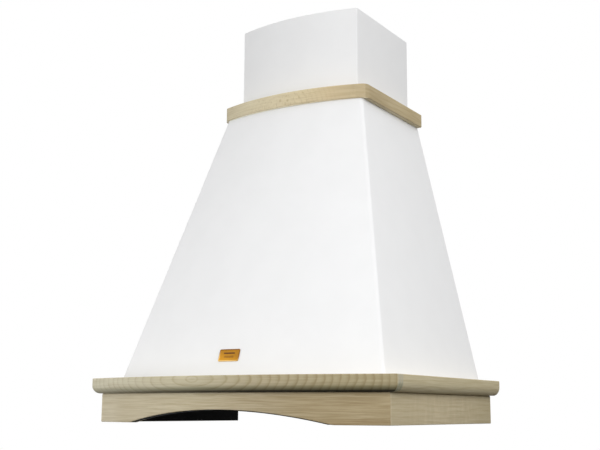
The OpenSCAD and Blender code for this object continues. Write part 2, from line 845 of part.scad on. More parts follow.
module underpan() {
    w = skirt_w - 2 * lining_in;
    reach = skirt_reach - lining_in;
    color(black_paint) in_frame() {
        difference() {
            translate([0, 0, pan_z]) linear_extrude(pan_t) outline(w, reach, skirt_r - lining_in);
            translate([-w, -panel_t - seat, pan_z - over]) cube([2 * w, over + panel_t, pan_t + 2 * over]);
            both_sides() translate([aperture_x0, aperture_y0, pan_z - over])
                cube([aperture_x1 - aperture_x0, aperture_y1 - aperture_y0, pan_t + 2 * over]);
            both_sides() translate([lamp_x, lamp_y, pan_z - over])
                cylinder(r = lamp_hole_r, h = pan_t + 2 * over, $fn = fn_round);
            translate([-cutout_w / 2, switch_y - cutout_d / 2, pan_z - over])
                cube([cutout_w, cutout_d, pan_t + 2 * over]);
            at_pan_screws() translate([0, 0, pan_z - over])
                cylinder(r = screw_r + screw_gap, h = pan_t + 2 * over, $fn = fn_round);
        }
        both_sides() {
            pan_ear(aperture_x0 - ear_t - seat);
            pan_ear(aperture_x1 + seat);
        }
    }
}

// Slot in the front rail of a filter for its latch
module latch_slot() {
    w = latch_w + 2 * latch_gap;
    translate([latch_x - w / 2, filter_y0 - over, latch_z - latch_gap])
        cube([w, latch_end_y + latch_travel + latch_gap - filter_y0 + over, latch_t + 2 * latch_gap]);
    translate([latch_x - latch_stem_w / 2 - latch_gap, latch_stem_y - latch_gap, filter_z - over])
        cube([latch_stem_w + 2 * latch_gap, latch_stem_d + latch_travel + 2 * latch_gap,
            latch_z - filter_z + over]);
}

module filter_frame() {
    w = filter_x1 - filter_x0;
    d = filter_y1 - filter_y0;
    lip = 4;
    pocket = filter_rail - lip;
    difference() {
        translate([filter_x0, filter_y0, filter_z]) cube([w, d, filter_t]);
        translate([filter_x0 + filter_rail, filter_y0 + filter_rail + latch_travel, filter_z - over])
            cube([w - 2 * filter_rail, d - 2 * filter_rail - latch_travel, filter_t + 2 * over]);
        translate([filter_x0 + pocket, filter_y0 + filter_rail + latch_travel - lip, filter_z + filter_lip_t])
            cube([w - 2 * pocket, d - 2 * filter_rail - latch_travel + 2 * lip, filter_t - 2 * filter_lip_t]);
        latch_slot();
    }
    for (x = [filter_x0 - pin_reach, filter_x1])
        translate([x, pivot_y, pivot_z]) rotate([0, 90, 0])
            cylinder(r = pivot_r, h = pin_reach, $fn = fn_round);
}

module filter_mesh() {
    lip = 4;
    pocket = filter_rail - lip;
    translate([filter_x0 + pocket + seat, filter_y0 + filter_rail + latch_travel - lip + seat,
            filter_z + filter_lip_t + seat])
        cube([filter_x1 - filter_x0 - 2 * pocket - 2 * seat,
            filter_y1 - filter_y0 - 2 * filter_rail - latch_travel + 2 * lip - 2 * seat,
            filter_t - 2 * filter_lip_t - 2 * seat]);
}

module filter_latch() {
    grip_w = latch_w + 6;
    grip_d = 16;
    translate([latch_x - latch_w / 2, aperture_y0 + seat, latch_z])
        cube([latch_w, latch_end_y - aperture_y0 - seat, latch_t]);
    translate([latch_x - latch_stem_w / 2, latch_stem_y, filter_z - latch_gap])
        cube([latch_stem_w, latch_stem_d, latch_z - filter_z + latch_gap]);
    difference() {
        translate([latch_x - grip_w / 2, filter_y0 + 1, filter_z - latch_gap - latch_grip_h])
            cube([grip_w, grip_d, latch_grip_h]);
        translate([latch_x - grip_w / 2 - over, filter_y0 + 1 + grip_d, filter_z - latch_gap - latch_grip_h])
            rotate([0, 90, 0]) cylinder(r = latch_grip_h - 2, h = grip_w + 2 * over, $fn = fn_round);
    }
}

module filter_frame_right() {
    color(zinc) in_frame() filter_frame();
}

module filter_frame_left() {
    color(zinc) in_frame() mirror([1, 0, 0]) filter_frame();
}

module filter_mesh_right() {
    color([0.78, 0.79, 0.80]) in_frame() filter_mesh();
}

module filter_mesh_left() {
    color([0.78, 0.79, 0.80]) in_frame() mirror([1, 0, 0]) filter_mesh();
}

module filter_latch_right() {
    color(black_paint) in_frame() filter_latch();
}

module filter_latch_left() {
    color(black_paint) in_frame() mirror([1, 0, 0]) filter_latch();
}

// Puts a drawing made in (y, z), centred on the impeller's axis, upright and extrudes it along X
module along_axis(x0, len) {
    translate([x0, axis_y, axis_z]) rotate([90, 0, 90]) linear_extrude(len) children();
}

// A cylinder round the impeller's axis
module on_axis(x0, len, r, fn = fn_round) {
    translate([x0, axis_y, axis_z]) rotate([0, 90, 0]) cylinder(r = r, h = len, $fn = fn);
}

module quarter(cx, cy, r, sx, sy) {
    translate([cx, cy]) intersection() {
        circle(r, $fn = fn_arc);
        translate([min(0, sx * r), min(0, sy * r)]) square(r);
    }
}

// Scroll outline made of four quarter arcs and the outlet throat, grown by a wall
module scroll_outline(wall, top) {
    q = scroll_step / 2;
    quarter(-q, -q, scroll_ra + wall, -1, 1);
    quarter(q, -q, scroll_rb + wall, -1, -1);
    quarter(q, q, scroll_rc + wall, 1, -1);
    quarter(-q, q, scroll_r0 + wall, 1, 1);
    translate([-q, -q]) square(2 * q);
    translate([throat_mid - scroll_w / 2 - wall, 0]) square([scroll_w + 2 * wall, top]);
}

module blower_wrap() {
    flange = scroll_w / 2 + scroll_t + outlet_flange;
    color(zinc) in_frame() {
        along_axis(-cheek_x, scroll_w) difference() {
            scroll_outline(scroll_t, throat_top);
            scroll_outline(0, throat_top + over);
        }
        difference() {
            translate([-flange, -duct_setback - flange, axis_z + throat_top - scroll_t])
                cube([2 * flange, 2 * flange, scroll_t]);
            translate([-cheek_x - scroll_t - seat, -duct_setback - scroll_w / 2,
                    axis_z + throat_top - scroll_t - over])
                cube([scroll_w + 2 * scroll_t + 2 * seat, scroll_w, scroll_t + 2 * over]);
            at_outlet_screws() translate([0, 0, axis_z])
                cylinder(r = screw_r + screw_gap, h = throat_top + over, $fn = fn_round);
        }
    }
}

module cheek() {
    difference() {
        along_axis(cheek_x, scroll_t) scroll_outline(scroll_t, throat_top);
        on_axis(cheek_x - over, scroll_t + 2 * over, inlet_r);
    }
}

// Places round the motor where its bracket is screwed to the blower
module at_bracket_screws() {
    translate([0, axis_y, axis_z]) for (a = bracket_angles) rotate([a, 0, 0])
        translate([0, bracket_r, 0]) rotate([0, 90, 0]) children();
}

module blower_cheek_right() {
    color(zinc) in_frame() cheek();
}

module blower_cheek_left() {
    color(zinc) in_frame() difference() {
        mirror([1, 0, 0]) cheek();
        at_bracket_screws() translate([0, 0, -cheek_x - scroll_t - over])
            cylinder(r = screw_r + screw_gap, h = scroll_t + 2 * over, $fn = fn_round);
    }
}

// Flanged ring that leads the air into the impeller
module inlet_ring() {
    depth = 8;
    rim = 8;
    wall = 1.5;
    outer = inlet_r - seat;
    translate([cheek_x + scroll_t + wall, axis_y, axis_z]) rotate([0, -90, 0]) rotate_extrude($fn = fn_arc)
        polygon([[outer - wall, 0], [outer + rim, 0], [outer + rim, wall], [outer, wall],
            [outer, wall + scroll_t + depth], [outer - wall, wall + scroll_t + depth]]);
}

module inlet_rings() {
    color(grey_plastic) in_frame() both_sides() inlet_ring();
}

// One forward-curved blade, drawn flat from the inner to the outer radius
function blade_turn(i) = 16 * i * i / 9;
module blade() {
    n = 3;
    half = blade_t / 2;
    step = (blade_depth - blade_t / 2) / n;
    front = [for (i = [0:n]) [(blade_r0 + i * step) * cos(blade_turn(i)) ,
        (blade_r0 + i * step) * sin(blade_turn(i)) + half]];
    back = [for (i = [n:-1:0]) [(blade_r0 + i * step) * cos(blade_turn(i)),
        (blade_r0 + i * step) * sin(blade_turn(i)) - half]];
    polygon(concat(front, back));
}

module impeller() {
    ring_w = 3;
    x0 = -impeller_w / 2;
    color([0.25, 0.26, 0.28]) in_frame() difference() {
        union() {
            along_axis(x0 + ring_w / 2, impeller_w - ring_w)
                for (i = [0:blade_count - 1]) rotate(i * 360 / blade_count) blade();
            for (x = [x0, -x0 - ring_w]) difference() {
                on_axis(x, ring_w, impeller_r, fn_arc);
                on_axis(x - over, ring_w + 2 * over, blade_r0, fn_arc);
            }
            on_axis(-blade_t, 2 * blade_t, impeller_r - blade_t, fn_arc);
            on_axis(hub_x0, hub_len, hub_r);
        }
        on_axis(hub_x0 - over, hub_len + 2 * over, shaft_r + shaft_gap / 2);
    }
}

module motor_shaft() {
    color(zinc) in_frame()
        on_axis(motor_x1 - shaft_depth, shaft_depth + hub_x0 - motor_x1 + hub_len + nut_h + over, shaft_r);
}

module impeller_nut() {
    color(zinc) in_frame() difference() {
        on_axis(hub_x0 + hub_len, nut_h, 2 * shaft_r, 6);
        on_axis(hub_x0 + hub_len - over, nut_h + 2 * over, shaft_r + shaft_gap / 2);
    }
}

// Motor can with stepped end bells and cooling slots
module motor() {
    can_x1 = motor_x1 - can_step;
    color(zinc) in_frame() difference() {
        union() {
            on_axis(bracket_x1, can_x1 - bracket_x1, motor_r);
            on_axis(motor_x0, motor_len, bell_r);
        }
        on_axis(motor_x1 - shaft_depth - seat, shaft_depth + seat + over, shaft_r + shaft_gap);
        for (a = [0:45:315]) translate([bracket_x1 + slot_in, axis_y, axis_z]) rotate([a, 0, 0])
            translate([0, motor_r - slot_depth, -slot_w / 2])
                cube([can_x1 - bracket_x1 - 2 * slot_in, slot_depth + over, slot_w]);
    }
}

module motor_bracket() {
    ring = 14;
    arm = 10;
    inner = bell_r + seat;
    arm_start = inner + ring / 2;
    color(zinc) in_frame() difference() {
        union() {
            on_axis(bracket_x1 - bracket_t, bracket_t, inner + ring);
            for (a = bracket_angles) translate([bracket_x1 - bracket_t, axis_y, axis_z]) rotate([a, 0, 0])
                translate([0, arm_start, -arm / 2]) cube([bracket_t, bracket_r + arm / 2 - arm_start, arm]);
        }
        on_axis(bracket_x1 - bracket_t - over, bracket_t + 2 * over, inner);
        at_bracket_screws() translate([0, 0, bracket_x1 - bracket_t - over])
            cylinder(r = screw_r + screw_gap, h = bracket_t + 2 * over, $fn = fn_round);
    }
}

module motor_dampers() {
    color(black_paint) in_frame() at_bracket_screws() translate([0, 0, bracket_x1]) difference() {
        cylinder(r = 2.5 * screw_r, h = damper_h, $fn = fn_round);
        translate([0, 0, -over]) cylinder(r = screw_r + screw_gap, h = damper_h + 2 * over, $fn = fn_round);
    }
}

module motor_screws() {
    color(zinc) in_frame() at_bracket_screws() {
        translate([0, 0, bracket_x1 - bracket_t - screw_head_h])
            cylinder(r = screw_head_r, h = screw_head_h, $fn = fn_round);
        translate([0, 0, bracket_x1 - bracket_t - screw_head_h])
            cylinder(r = screw_r, h = screw_head_h + bracket_t + damper_h + scroll_t + over, $fn = fn_round);
    }
}

// Places of the screws through the canopy's top plate, the outlet collar and the scroll's flange
module at_outlet_screws() {
    place = collar_half - outlet_flange / 2;
    for (sx = [-1, 1], sy = [-1, 1]) translate([sx * place, -duct_setback + sy * place, 0]) children();
}

module outlet_collar() {
    z0 = plate_z - collar_flange_t;
    ledge_z = rod_z - flap_t / 2 - seat - ledge_t;
    color(grey_plastic) in_frame() difference() {
        union() {
            translate([-collar_half, -duct_setback - collar_half, z0])
                cube([2 * collar_half, 2 * collar_half, collar_flange_t]);
            translate([0, -duct_setback, z0])
                cylinder(r = boss_r, h = collar_flange_t + sheet_t, $fn = fn_arc);
            translate([0, -duct_setback, z0])
                cylinder(r = spigot_r, h = collar_flange_t + sheet_t + spigot_h, $fn = fn_arc);
        }
        translate([0, -duct_setback, z0 - over])
            cylinder(r = spigot_in - ledge_w, h = top_z - z0 + spigot_h, $fn = fn_arc);
        translate([0, -duct_setback, z0 - over])
            cylinder(r = spigot_in, h = ledge_z - z0 + over, $fn = fn_arc);
        translate([0, -duct_setback, ledge_z + ledge_t])
            cylinder(r = spigot_in, h = spigot_h, $fn = fn_arc);
        translate([-spigot_r - over, -duct_setback, rod_z]) rotate([0, 90, 0])
            cylinder(r = rod_r + screw_gap, h = 2 * spigot_r + 2 * over, $fn = fn_round);
        at_outlet_screws() translate([0, 0, z0 - over])
            cylinder(r = screw_r + screw_gap, h = collar_flange_t + 2 * over, $fn = fn_round);
    }
}

module outlet_screws() {
    len = sheet_t + collar_flange_t + scroll_t + 4;
    color(zinc) in_frame() at_outlet_screws() {
        translate([0, 0, top_z]) cylinder(r = screw_head_r, h = screw_head_h, $fn = fn_round);
        translate([0, 0, top_z - len]) cylinder(r = screw_r, h = len + screw_head_h, $fn = fn_round);
    }
}

module flap_rod() {
    half = spigot_r - 0.5;
    color(zinc) in_frame() translate([-half, -duct_setback, rod_z]) rotate([0, 90, 0])
        cylinder(r = rod_r, h = 2 * half, $fn = fn_round);
}

// Half-round flap on the rear side of the rod. first says which knuckles it has
module flap(first) {
    translate([0, -duct_setback, rod_z]) difference() {
        union() {
            intersection() {
                translate([0, 0, -flap_t / 2]) cylinder(r = flap_r, h = flap_t, $fn = fn_arc);
                translate([-flap_r, flap_start, -flap_t]) cube([2 * flap_r, flap_r, 2 * flap_t]);
            }
            for (k = [first:2:knuckle_n - 1]) {
                x0 = (k - knuckle_n / 2) * knuckle_pitch + seat;
                translate([x0, 0, 0]) rotate([0, 90, 0])
                    cylinder(r = knuckle_r, h = knuckle_pitch - 2 * seat, $fn = fn_round);
                translate([x0, 0, -flap_t / 2]) cube([knuckle_pitch - 2 * seat, flap_start + over, flap_t]);
            }
        }
        translate([-flap_r, 0, 0]) rotate([0, 90, 0])
            cylinder(r = rod_r + rod_gap, h = 2 * flap_r, $fn = fn_round);
    }
}

module flap_rear() {
    color(black_paint) in_frame() flap(0);
}

module flap_front() {
    color(black_paint) in_frame() translate([0, -2 * duct_setback, 0]) mirror([0, 1, 0]) flap(1);
}

module capacitor() {
    color(pale_plastic) in_frame() translate([cap_x, cap_y, cap_z]) {
        cylinder(r = cap_r, h = cap_h, $fn = fn_round);
        for (s = [-1, 1]) translate([s * 5, 0, cap_h]) translate([-1.5, -0.4, 0]) cube([3, 0.8, 8]);
    }
}

// Band round the capacitor, with a foot on the rear panel
module capacitor_clip() {
    z = cap_z + clip_rise;
    color(zinc) in_frame() difference() {
        union() {
            translate([cap_x, cap_y, z]) cylinder(r = cap_r + clip_gap + clip_t, h = clip_h, $fn = fn_round);
            translate([cap_x - clip_half, -panel_t - clip_t, z]) cube([2 * clip_half, clip_t, clip_h]);
        }
        translate([cap_x, cap_y, cap_z]) cylinder(r = cap_r + clip_gap, h = cap_h, $fn = fn_round);
    }
}

module terminal_box() {
    w = 62;
    d = 34;
    h = 52;
    wall = 2;
    color(pale_plastic) in_frame() translate([box_x, -panel_t - d, box_z]) difference() {
        cube([w, d, h]);
        translate([wall, wall, wall]) cube([w - 2 * wall, d - 2 * wall, h - 2 * wall]);
        translate([w / 2, d / 2, h - wall - over]) cylinder(r = 6, h = wall + 2 * over, $fn = fn_round);
    }
}

// Gland that the supply cable leaves through, up into the chimney
module cable_gland() {
    z0 = plate_z - gland_below;
    z1 = top_z + gland_nut_h + gland_cap_h;
    color(grey_plastic) in_frame() translate([gland_x, gland_y, 0]) difference() {
        union() {
            translate([0, 0, z0]) cylinder(r = gland_r, h = z1 - z0, $fn = fn_round);
            translate([0, 0, top_z]) cylinder(r = gland_nut_r, h = gland_nut_h, $fn = 6);
            translate([0, 0, plate_z - gland_ring_h]) cylinder(r = gland_nut_r, h = gland_ring_h, $fn = 6);
        }
        translate([0, 0, z0 - over]) cylinder(r = gland_bore_r, h = z1 - z0 + 2 * over, $fn = fn_round);
    }
}

module at_lamps() {
    both_sides() translate([lamp_x, lamp_y, 0]) children();
}

// Steel can above the underpan, with a bulb holder under its top
module lamp_cans() {
    color(zinc) in_frame() at_lamps() translate([0, 0, skirt_h]) {
        difference() {
            cylinder(r = can_r, h = lamp_h, $fn = fn_round);
            translate([0, 0, -over]) cylinder(r = can_r - can_t, h = lamp_h - can_t + over, $fn = fn_round);
        }
        translate([0, 0, lamp_h - can_t - holder_h])
            cylinder(r = bulb_r + 2, h = holder_h + can_t / 2, $fn = fn_round);
    }
}

module lamp_bulbs() {
    color([0.95, 0.93, 0.85]) in_frame() at_lamps() translate([0, 0, skirt_h + lamp_h - can_t - holder_h]) {
        translate([0, 0, -bulb_h + bulb_r]) cylinder(r = bulb_r, h = bulb_h - bulb_r, $fn = fn_round);
        translate([0, 0, -bulb_h + bulb_r]) sphere(r = bulb_r, $fn = fn_round);
    }
}

module lamp_rings() {
    color(zinc) in_frame() at_lamps() difference() {
        translate([0, 0, pan_z - ring_t]) cylinder(r = lamp_r, h = ring_t, $fn = fn_round);
        translate([0, 0, pan_z - ring_t - over])
            cylinder(r = lens_r - ring_lip_w, h = ring_t + 2 * over, $fn = fn_round);
        translate([0, 0, pan_z - ring_t + ring_lip]) cylinder(r = lens_r + seat, h = ring_t, $fn = fn_round);
    }
}

module lamp_lenses() {
    color([0.85, 0.90, 0.92]) in_frame() at_lamps() translate([0, 0, pan_z - ring_t + ring_lip])
        cylinder(r = lens_r, h = lens_t, $fn = fn_round);
}

// Place of one button, counted from the left
function button_x(k) = (k - (button_count - 1) / 2) * button_pitch;

// Frame under the underpan with one window for each button
module switch_bezel() {
    w = switch_row + 2 * bezel_rim;
    d = button_d + 2 * bezel_rim;
    color(black_paint) in_frame() difference() {
        translate([-w / 2, switch_y - d / 2, pan_z - bezel_t]) cube([w, d, bezel_t]);
        for (k = [0:button_count - 1])
            translate([button_x(k) - button_w / 2 - button_clear, switch_y - button_d / 2 - button_clear,
                    pan_z - bezel_t - over])
                cube([button_w + 2 * button_clear, button_d + 2 * button_clear, bezel_t + 2 * over]);
    }
}

// Housing above the underpan, with a block that guides the button stems
module switch_housing() {
    block_w = switch_row;
    stem_room = stem_top - block_z + button_travel + 2 * over;
    color(black_paint) in_frame() {
        difference() {
            translate([-housing_w / 2, switch_y - housing_d / 2, skirt_h])
                cube([housing_w, housing_d, housing_h]);
            translate([-housing_w / 2 + housing_t, switch_y - housing_d / 2 + housing_t, skirt_h - over])
                cube([housing_w - 2 * housing_t, housing_d - 2 * housing_t, housing_h - housing_t + over]);
        }
        difference() {
            translate([-block_w / 2, switch_y - stem_r - 2, block_z])
                cube([block_w, 2 * stem_r + 4, skirt_h + housing_h - housing_t / 2 - block_z]);
            for (k = [0:button_count - 1]) translate([button_x(k), switch_y, block_z - over])
                cylinder(r = stem_r + stem_gap, h = stem_room, $fn = fn_round);
        }
    }
}

module button(k) {
    cap_z0 = pan_z - button_show;
    color(pale_plastic) in_frame() translate([button_x(k), switch_y, 0]) {
        translate([-button_w / 2, -button_d / 2, cap_z0]) cube([button_w, button_d, button_show + seat]);
        translate([-button_w / 2 - button_flange, -button_d / 2 - button_flange, pan_z + seat])
            cube([button_w + 2 * button_flange, button_d + 2 * button_flange, button_flange]);
        translate([0, 0, pan_z + seat]) cylinder(r = stem_r, h = stem_top - pan_z - seat, $fn = fn_round);
    }
}

module button_1() { button(0); }
module button_2() { button(1); }
module button_3() { button(2); }
module button_4() { button(3); }
module button_5() { button(4); }

module pan_screws() {
    color(zinc) in_frame() at_pan_screws() {
        translate([0, 0, pan_z - screw_head_h]) cylinder(r = screw_head_r, h = screw_head_h, $fn = fn_round);
        translate([0, 0, pan_z - screw_head_h])
            cylinder(r = screw_r, h = screw_head_h + pan_t + screw_len, $fn = fn_round);
    }
}

module foot_screws() {
    color(zinc) in_frame() at_foot_screws() {
        translate([0, 0, foot_z + sheet_t]) cylinder(r = screw_head_r, h = screw_head_h, $fn = fn_round);
        translate([0, 0, foot_z - screw_len])
            cylinder(r = screw_r, h = screw_len + sheet_t + screw_head_h, $fn = fn_round);
    }
}

cornice_front();
cornice_left();
cornice_right();
skirt_front();
skirt_left();
skirt_right();
collar_front();
collar_left();
collar_right();
canopy_shell();
canopy_top_plate();
rear_panel();
chimney_lower();
chimney_upper();
chimney_bracket();
badge_plate();
liner_front();
liner_left();
liner_right();
underpan();
filter_frame_left();
filter_mesh_left();
filter_latch_left();
filter_frame_right();
filter_mesh_right();
filter_latch_right();
blower_wrap();
blower_cheek_left();
blower_cheek_right();
inlet_rings();
impeller();
motor_shaft();
impeller_nut();
motor();
motor_bracket();
motor_dampers();
motor_screws();
outlet_collar();
outlet_screws();
flap_rod();
flap_front();
flap_rear();
capacitor();
capacitor_clip();
terminal_box();
cable_gland();
lamp_cans();
lamp_bulbs();
lamp_lenses();
lamp_rings();
switch_housing();
switch_bezel();
button_1();
button_2();
button_3();
button_4();
button_5();
pan_screws();
foot_screws();
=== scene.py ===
import math

import bmesh
import bpy
from mathutils import Matrix, Vector


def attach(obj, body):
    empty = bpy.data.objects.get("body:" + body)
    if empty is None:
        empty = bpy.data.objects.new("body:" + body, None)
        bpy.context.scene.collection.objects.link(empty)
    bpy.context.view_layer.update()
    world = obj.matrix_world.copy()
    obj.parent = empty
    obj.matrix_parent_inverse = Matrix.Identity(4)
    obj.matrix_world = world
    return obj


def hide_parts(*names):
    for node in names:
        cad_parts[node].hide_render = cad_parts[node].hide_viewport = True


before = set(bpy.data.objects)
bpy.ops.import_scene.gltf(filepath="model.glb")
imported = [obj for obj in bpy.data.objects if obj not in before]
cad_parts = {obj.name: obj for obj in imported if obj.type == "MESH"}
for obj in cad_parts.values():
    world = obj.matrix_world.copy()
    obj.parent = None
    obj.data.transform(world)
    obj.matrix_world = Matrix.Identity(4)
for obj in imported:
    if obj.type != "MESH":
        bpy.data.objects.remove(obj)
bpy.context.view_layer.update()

MM = 0.001
# Height of the frame's origin above the skirt's bottom. Heights in mm count from that bottom.
FIX_H = 340.0


def at(x, y, z):
    """A place in mm, its height counted from the skirt's bottom, as a point of the row frame."""
    return Vector((x * MM, y * MM, (z - FIX_H) * MM))


# Camera

CAMERA_AT = at(955.0, -1734.9, 21.24)
CAMERA_YAW = 0.5564
CAMERA_PITCH = 0.1834
CAMERA_ROLL = 0.0053
CAMERA_LENS = 59.994


def make_camera():
    """The photograph's view: from low on the right, looking up."""
    forward = Vector((-math.sin(CAMERA_YAW) * math.cos(CAMERA_PITCH),
                      math.cos(CAMERA_YAW) * math.cos(CAMERA_PITCH), math.sin(CAMERA_PITCH)))
    level = Vector((math.cos(CAMERA_YAW), math.sin(CAMERA_YAW), 0.0))
    above = level.cross(forward)
    right = math.cos(CAMERA_ROLL) * level + math.sin(CAMERA_ROLL) * above
    top = -math.sin(CAMERA_ROLL) * level + math.cos(CAMERA_ROLL) * above
    data = bpy.data.cameras.new("camera")
    data.lens = CAMERA_LENS
    data.sensor_width = 36.0
    data.clip_start = 0.01
    data.clip_end = 200.0
    cam = bpy.data.objects.new("camera", data)
    turn = Matrix((right, top, -forward)).transposed()
    cam.matrix_world = Matrix.Translation(CAMERA_AT) @ turn.to_4x4()
    bpy.context.scene.collection.objects.link(cam)
    bpy.context.scene.camera = cam


make_camera()
bpy.context.scene.view_settings.view_transform = "Standard"

# Node helpers

LINKS = (bpy.types.NodeSocket, bpy.types.Node)


class Tree:
    """A node tree with short calls: add() adds a node, set() gives a socket a link or a value."""

    def __init__(self, owner):
        owner.use_nodes = True
        self.tree = owner.node_tree
        self.tree.nodes.clear()

    def add(self, kind, inputs=None, **props):
        node = self.tree.nodes.new(kind)
        for key, value in props.items():
            setattr(node, key, value)
        for key, value in (inputs or {}).items():
            self.set(node.inputs[key], value)
        return node

    def set(self, socket, value):
        if isinstance(value, bpy.types.NodeSocket):
            self.tree.links.new(value, socket)
        elif isinstance(value, bpy.types.Node):
            self.tree.links.new(value.outputs[0], socket)
        else:
            socket.default_value = value

    def math(self, operation, a, b=0.0, c=0.0, clamp=False):
        return self.add("ShaderNodeMath", {0: a, 1: b, 2: c}, operation=operation, use_clamp=clamp)

    def vmath(self, operation, a, b=(0, 0, 0)):
        return self.add("ShaderNodeVectorMath", {0: a, 1: b}, operation=operation)

    def combine(self, x, y, z):
        return self.add("ShaderNodeCombineXYZ", {0: x, 1: y, 2: z})

    def xyz(self, vector):
        """The three parts of a vector."""
        node = self.add("ShaderNodeSeparateXYZ", {0: vector})
        return node.outputs[0], node.outputs[1], node.outputs[2]

    def times(self, vector, factors):
        return self.vmath("MULTIPLY", vector, factors).outputs[0]

    def length(self, vector):
        return self.vmath("LENGTH", vector).outputs["Value"]

    def ramp(self, fac, stops, mode="LINEAR"):
        node = self.add("ShaderNodeValToRGB", {0: fac})
        node.color_ramp.interpolation = mode
        items = node.color_ramp.elements
        while len(items) < len(stops):
            items.new(0.5)
        for item, (place, value) in zip(items, stops):
            item.position = place
            item.color = (*value, 1.0)
        return node

    def grey(self, fac, stops, mode="LINEAR"):
        return self.ramp(fac, [(p, (v, v, v)) for p, v in stops], mode)

    def step(self, value, low, high):
        """0 at low and beyond it, 1 at high and beyond it, smooth between."""
        return self.add("ShaderNodeMapRange", {0: value, 1: low, 2: high, 3: 0.0, 4: 1.0},
                      interpolation_type="SMOOTHSTEP")

    def band(self, value, low, high, soft):
        up = self.step(value, low - soft, low + soft)
        down = self.step(value, high - soft, high + soft)
        return self.math("SUBTRACT", up, down, clamp=True)

    def mix(self, fac, a, b, blend="MIX"):
        node = self.add("ShaderNodeMix", data_type="RGBA", blend_type=blend)
        self.set(node.inputs["Factor"], fac)
        self.set(node.inputs[6], a if isinstance(a, LINKS) else (*a, 1.0))
        self.set(node.inputs[7], b if isinstance(b, LINKS) else (*b, 1.0))
        return node.outputs[2]

    def noise(self, vector, scale, detail=2.0, rough=0.5):
        return self.add("ShaderNodeTexNoise", {"Vector": self.times(vector, scale), "Scale": 1.0,
                                             "Detail": detail, "Roughness": rough})

    def bump(self, height, strength, distance):
        return self.add("ShaderNodeBump", {"Strength": strength, "Distance": distance, "Height": height})

    def mm(self):
        """Object coordinates in mm."""
        raw = self.add("ShaderNodeTexCoord").outputs["Object"]
        return self.times(raw, (1000.0, 1000.0, 1000.0))

    def principled(self, color, rough, metal=0.0, normal=None, **more):
        values = {"Base Color": color if isinstance(color, LINKS) else (*color, 1.0),
                  "Roughness": rough, "Metallic": metal}
        if normal is not None:
            values["Normal"] = normal
        values.update(more)
        shader = self.add("ShaderNodeBsdfPrincipled", values)
        self.add("ShaderNodeOutputMaterial", {"Surface": shader})


# World, floor and lights, in metres of the row frame

FLOOR_Z = -2.9
FLOOR_HALF = 12.0
# The floor is pale where it is seen, and dark for the light that it throws up
FLOOR_SEEN = (0.9, 0.9, 0.9)
FLOOR_FOR_LIGHT = (0.10, 0.10, 0.10)
# Level of the sky for the light: a part that grows with height, one that grows with its square, and
# one that grows to the right.
SKY_HIGH = 0.256
SKY_TOP = 0.696
SKY_RIGHT = 0.64
LIGHT_AIM = (0.0, -0.25, -0.1)
LIGHT_SIZE = (1.4, 1.2)


def white_rays(t):
    """1 for the rays that see the white background: camera, glossy and transmission rays."""
    path = t.add("ShaderNodeLightPath")
    return t.math("MAXIMUM", path.outputs["Is Camera Ray"],
                  t.math("MAXIMUM", path.outputs["Is Glossy Ray"], path.outputs["Is Transmission Ray"]))


def make_world():
    world = bpy.data.worlds.new("studio")
    bpy.context.scene.world = world
    t = Tree(world)
    x, _, z = t.xyz(t.add("ShaderNodeTexCoord").outputs["Generated"])
    high = t.math("MAXIMUM", z, 0.0)
    level = t.math("MULTIPLY", high, t.math("MULTIPLY_ADD", high, SKY_TOP, SKY_HIGH))
    right = t.math("MULTIPLY", t.math("MAXIMUM", x, 0.0), t.math("GREATER_THAN", z, 0.0))
    level = t.math("MULTIPLY_ADD", right, SKY_RIGHT, level)
    light = t.add("ShaderNodeBackground", {"Color": level, "Strength": 1.0})
    white = t.add("ShaderNodeBackground", {"Color": (1, 1, 1, 1), "Strength": 1.0})
    both = t.add("ShaderNodeMixShader", {0: white_rays(t), 1: light, 2: white})
    t.add("ShaderNodeOutputWorld", {"Surface": both})


def make_floor():
    mesh = bpy.data.meshes.new("floor")
    h = FLOOR_HALF
    corners = [(-h, -h, FLOOR_Z), (h, -h, FLOOR_Z), (h, h, FLOOR_Z), (-h, h, FLOOR_Z)]
    mesh.from_pydata(corners, [], [(0, 1, 2, 3)])
    floor = bpy.data.objects.new("floor", mesh)
    bpy.context.scene.collection.objects.link(floor)
    mat = bpy.data.materials.new("floor")
    t = Tree(mat)
    color = t.mix(white_rays(t), FLOOR_FOR_LIGHT, FLOOR_SEEN)
    t.add("ShaderNodeOutputMaterial", {"Surface": t.add("ShaderNodeBsdfDiffuse", {"Color": color})})
    mesh.materials.append(mat)


def area_light(name, place, power):
    data = bpy.data.lights.new(name, "AREA")
    data.shape = "RECTANGLE"
    data.size, data.size_y = LIGHT_SIZE
    data.energy = power
    obj = bpy.data.objects.new(name, data)
    obj.location = place
    obj.rotation_euler = (Vector(LIGHT_AIM) - Vector(place)).to_track_quat("-Z", "Y").to_euler()
    bpy.context.scene.collection.objects.link(obj)


make_world()
make_floor()
area_light("key_high", (1.2, -1.9, 0.4), 10.3)
area_light("front_high", (0.1, -2.0, 0.7), 7.4)
area_light("left", (-1.4, -1.6, -0.5), 16.2)
area_light("right_high", (1.9, -0.8, 0.55), 13.0)
area_light("rear_fill", (-0.8, 2.0, 0.6), 12.0)

# Sizes, as in the CAD apart from the nose, the collar's corner and the gap at the wall


def arc_r(chord, bow):
    """Radius of an arc with this chord and height."""
    return (chord * chord / 4 + bow * bow) / (2 * bow)


def fall(r, x):
    """How far an arc of radius r falls back at x from its middle."""
    return r - math.sqrt(r * r - x * x)


def bowed(width, reach, bow):
    """An outline: width, reach from the wall to the middle of the front, radius of the bowed front."""
    return width, reach, arc_r(width, bow)


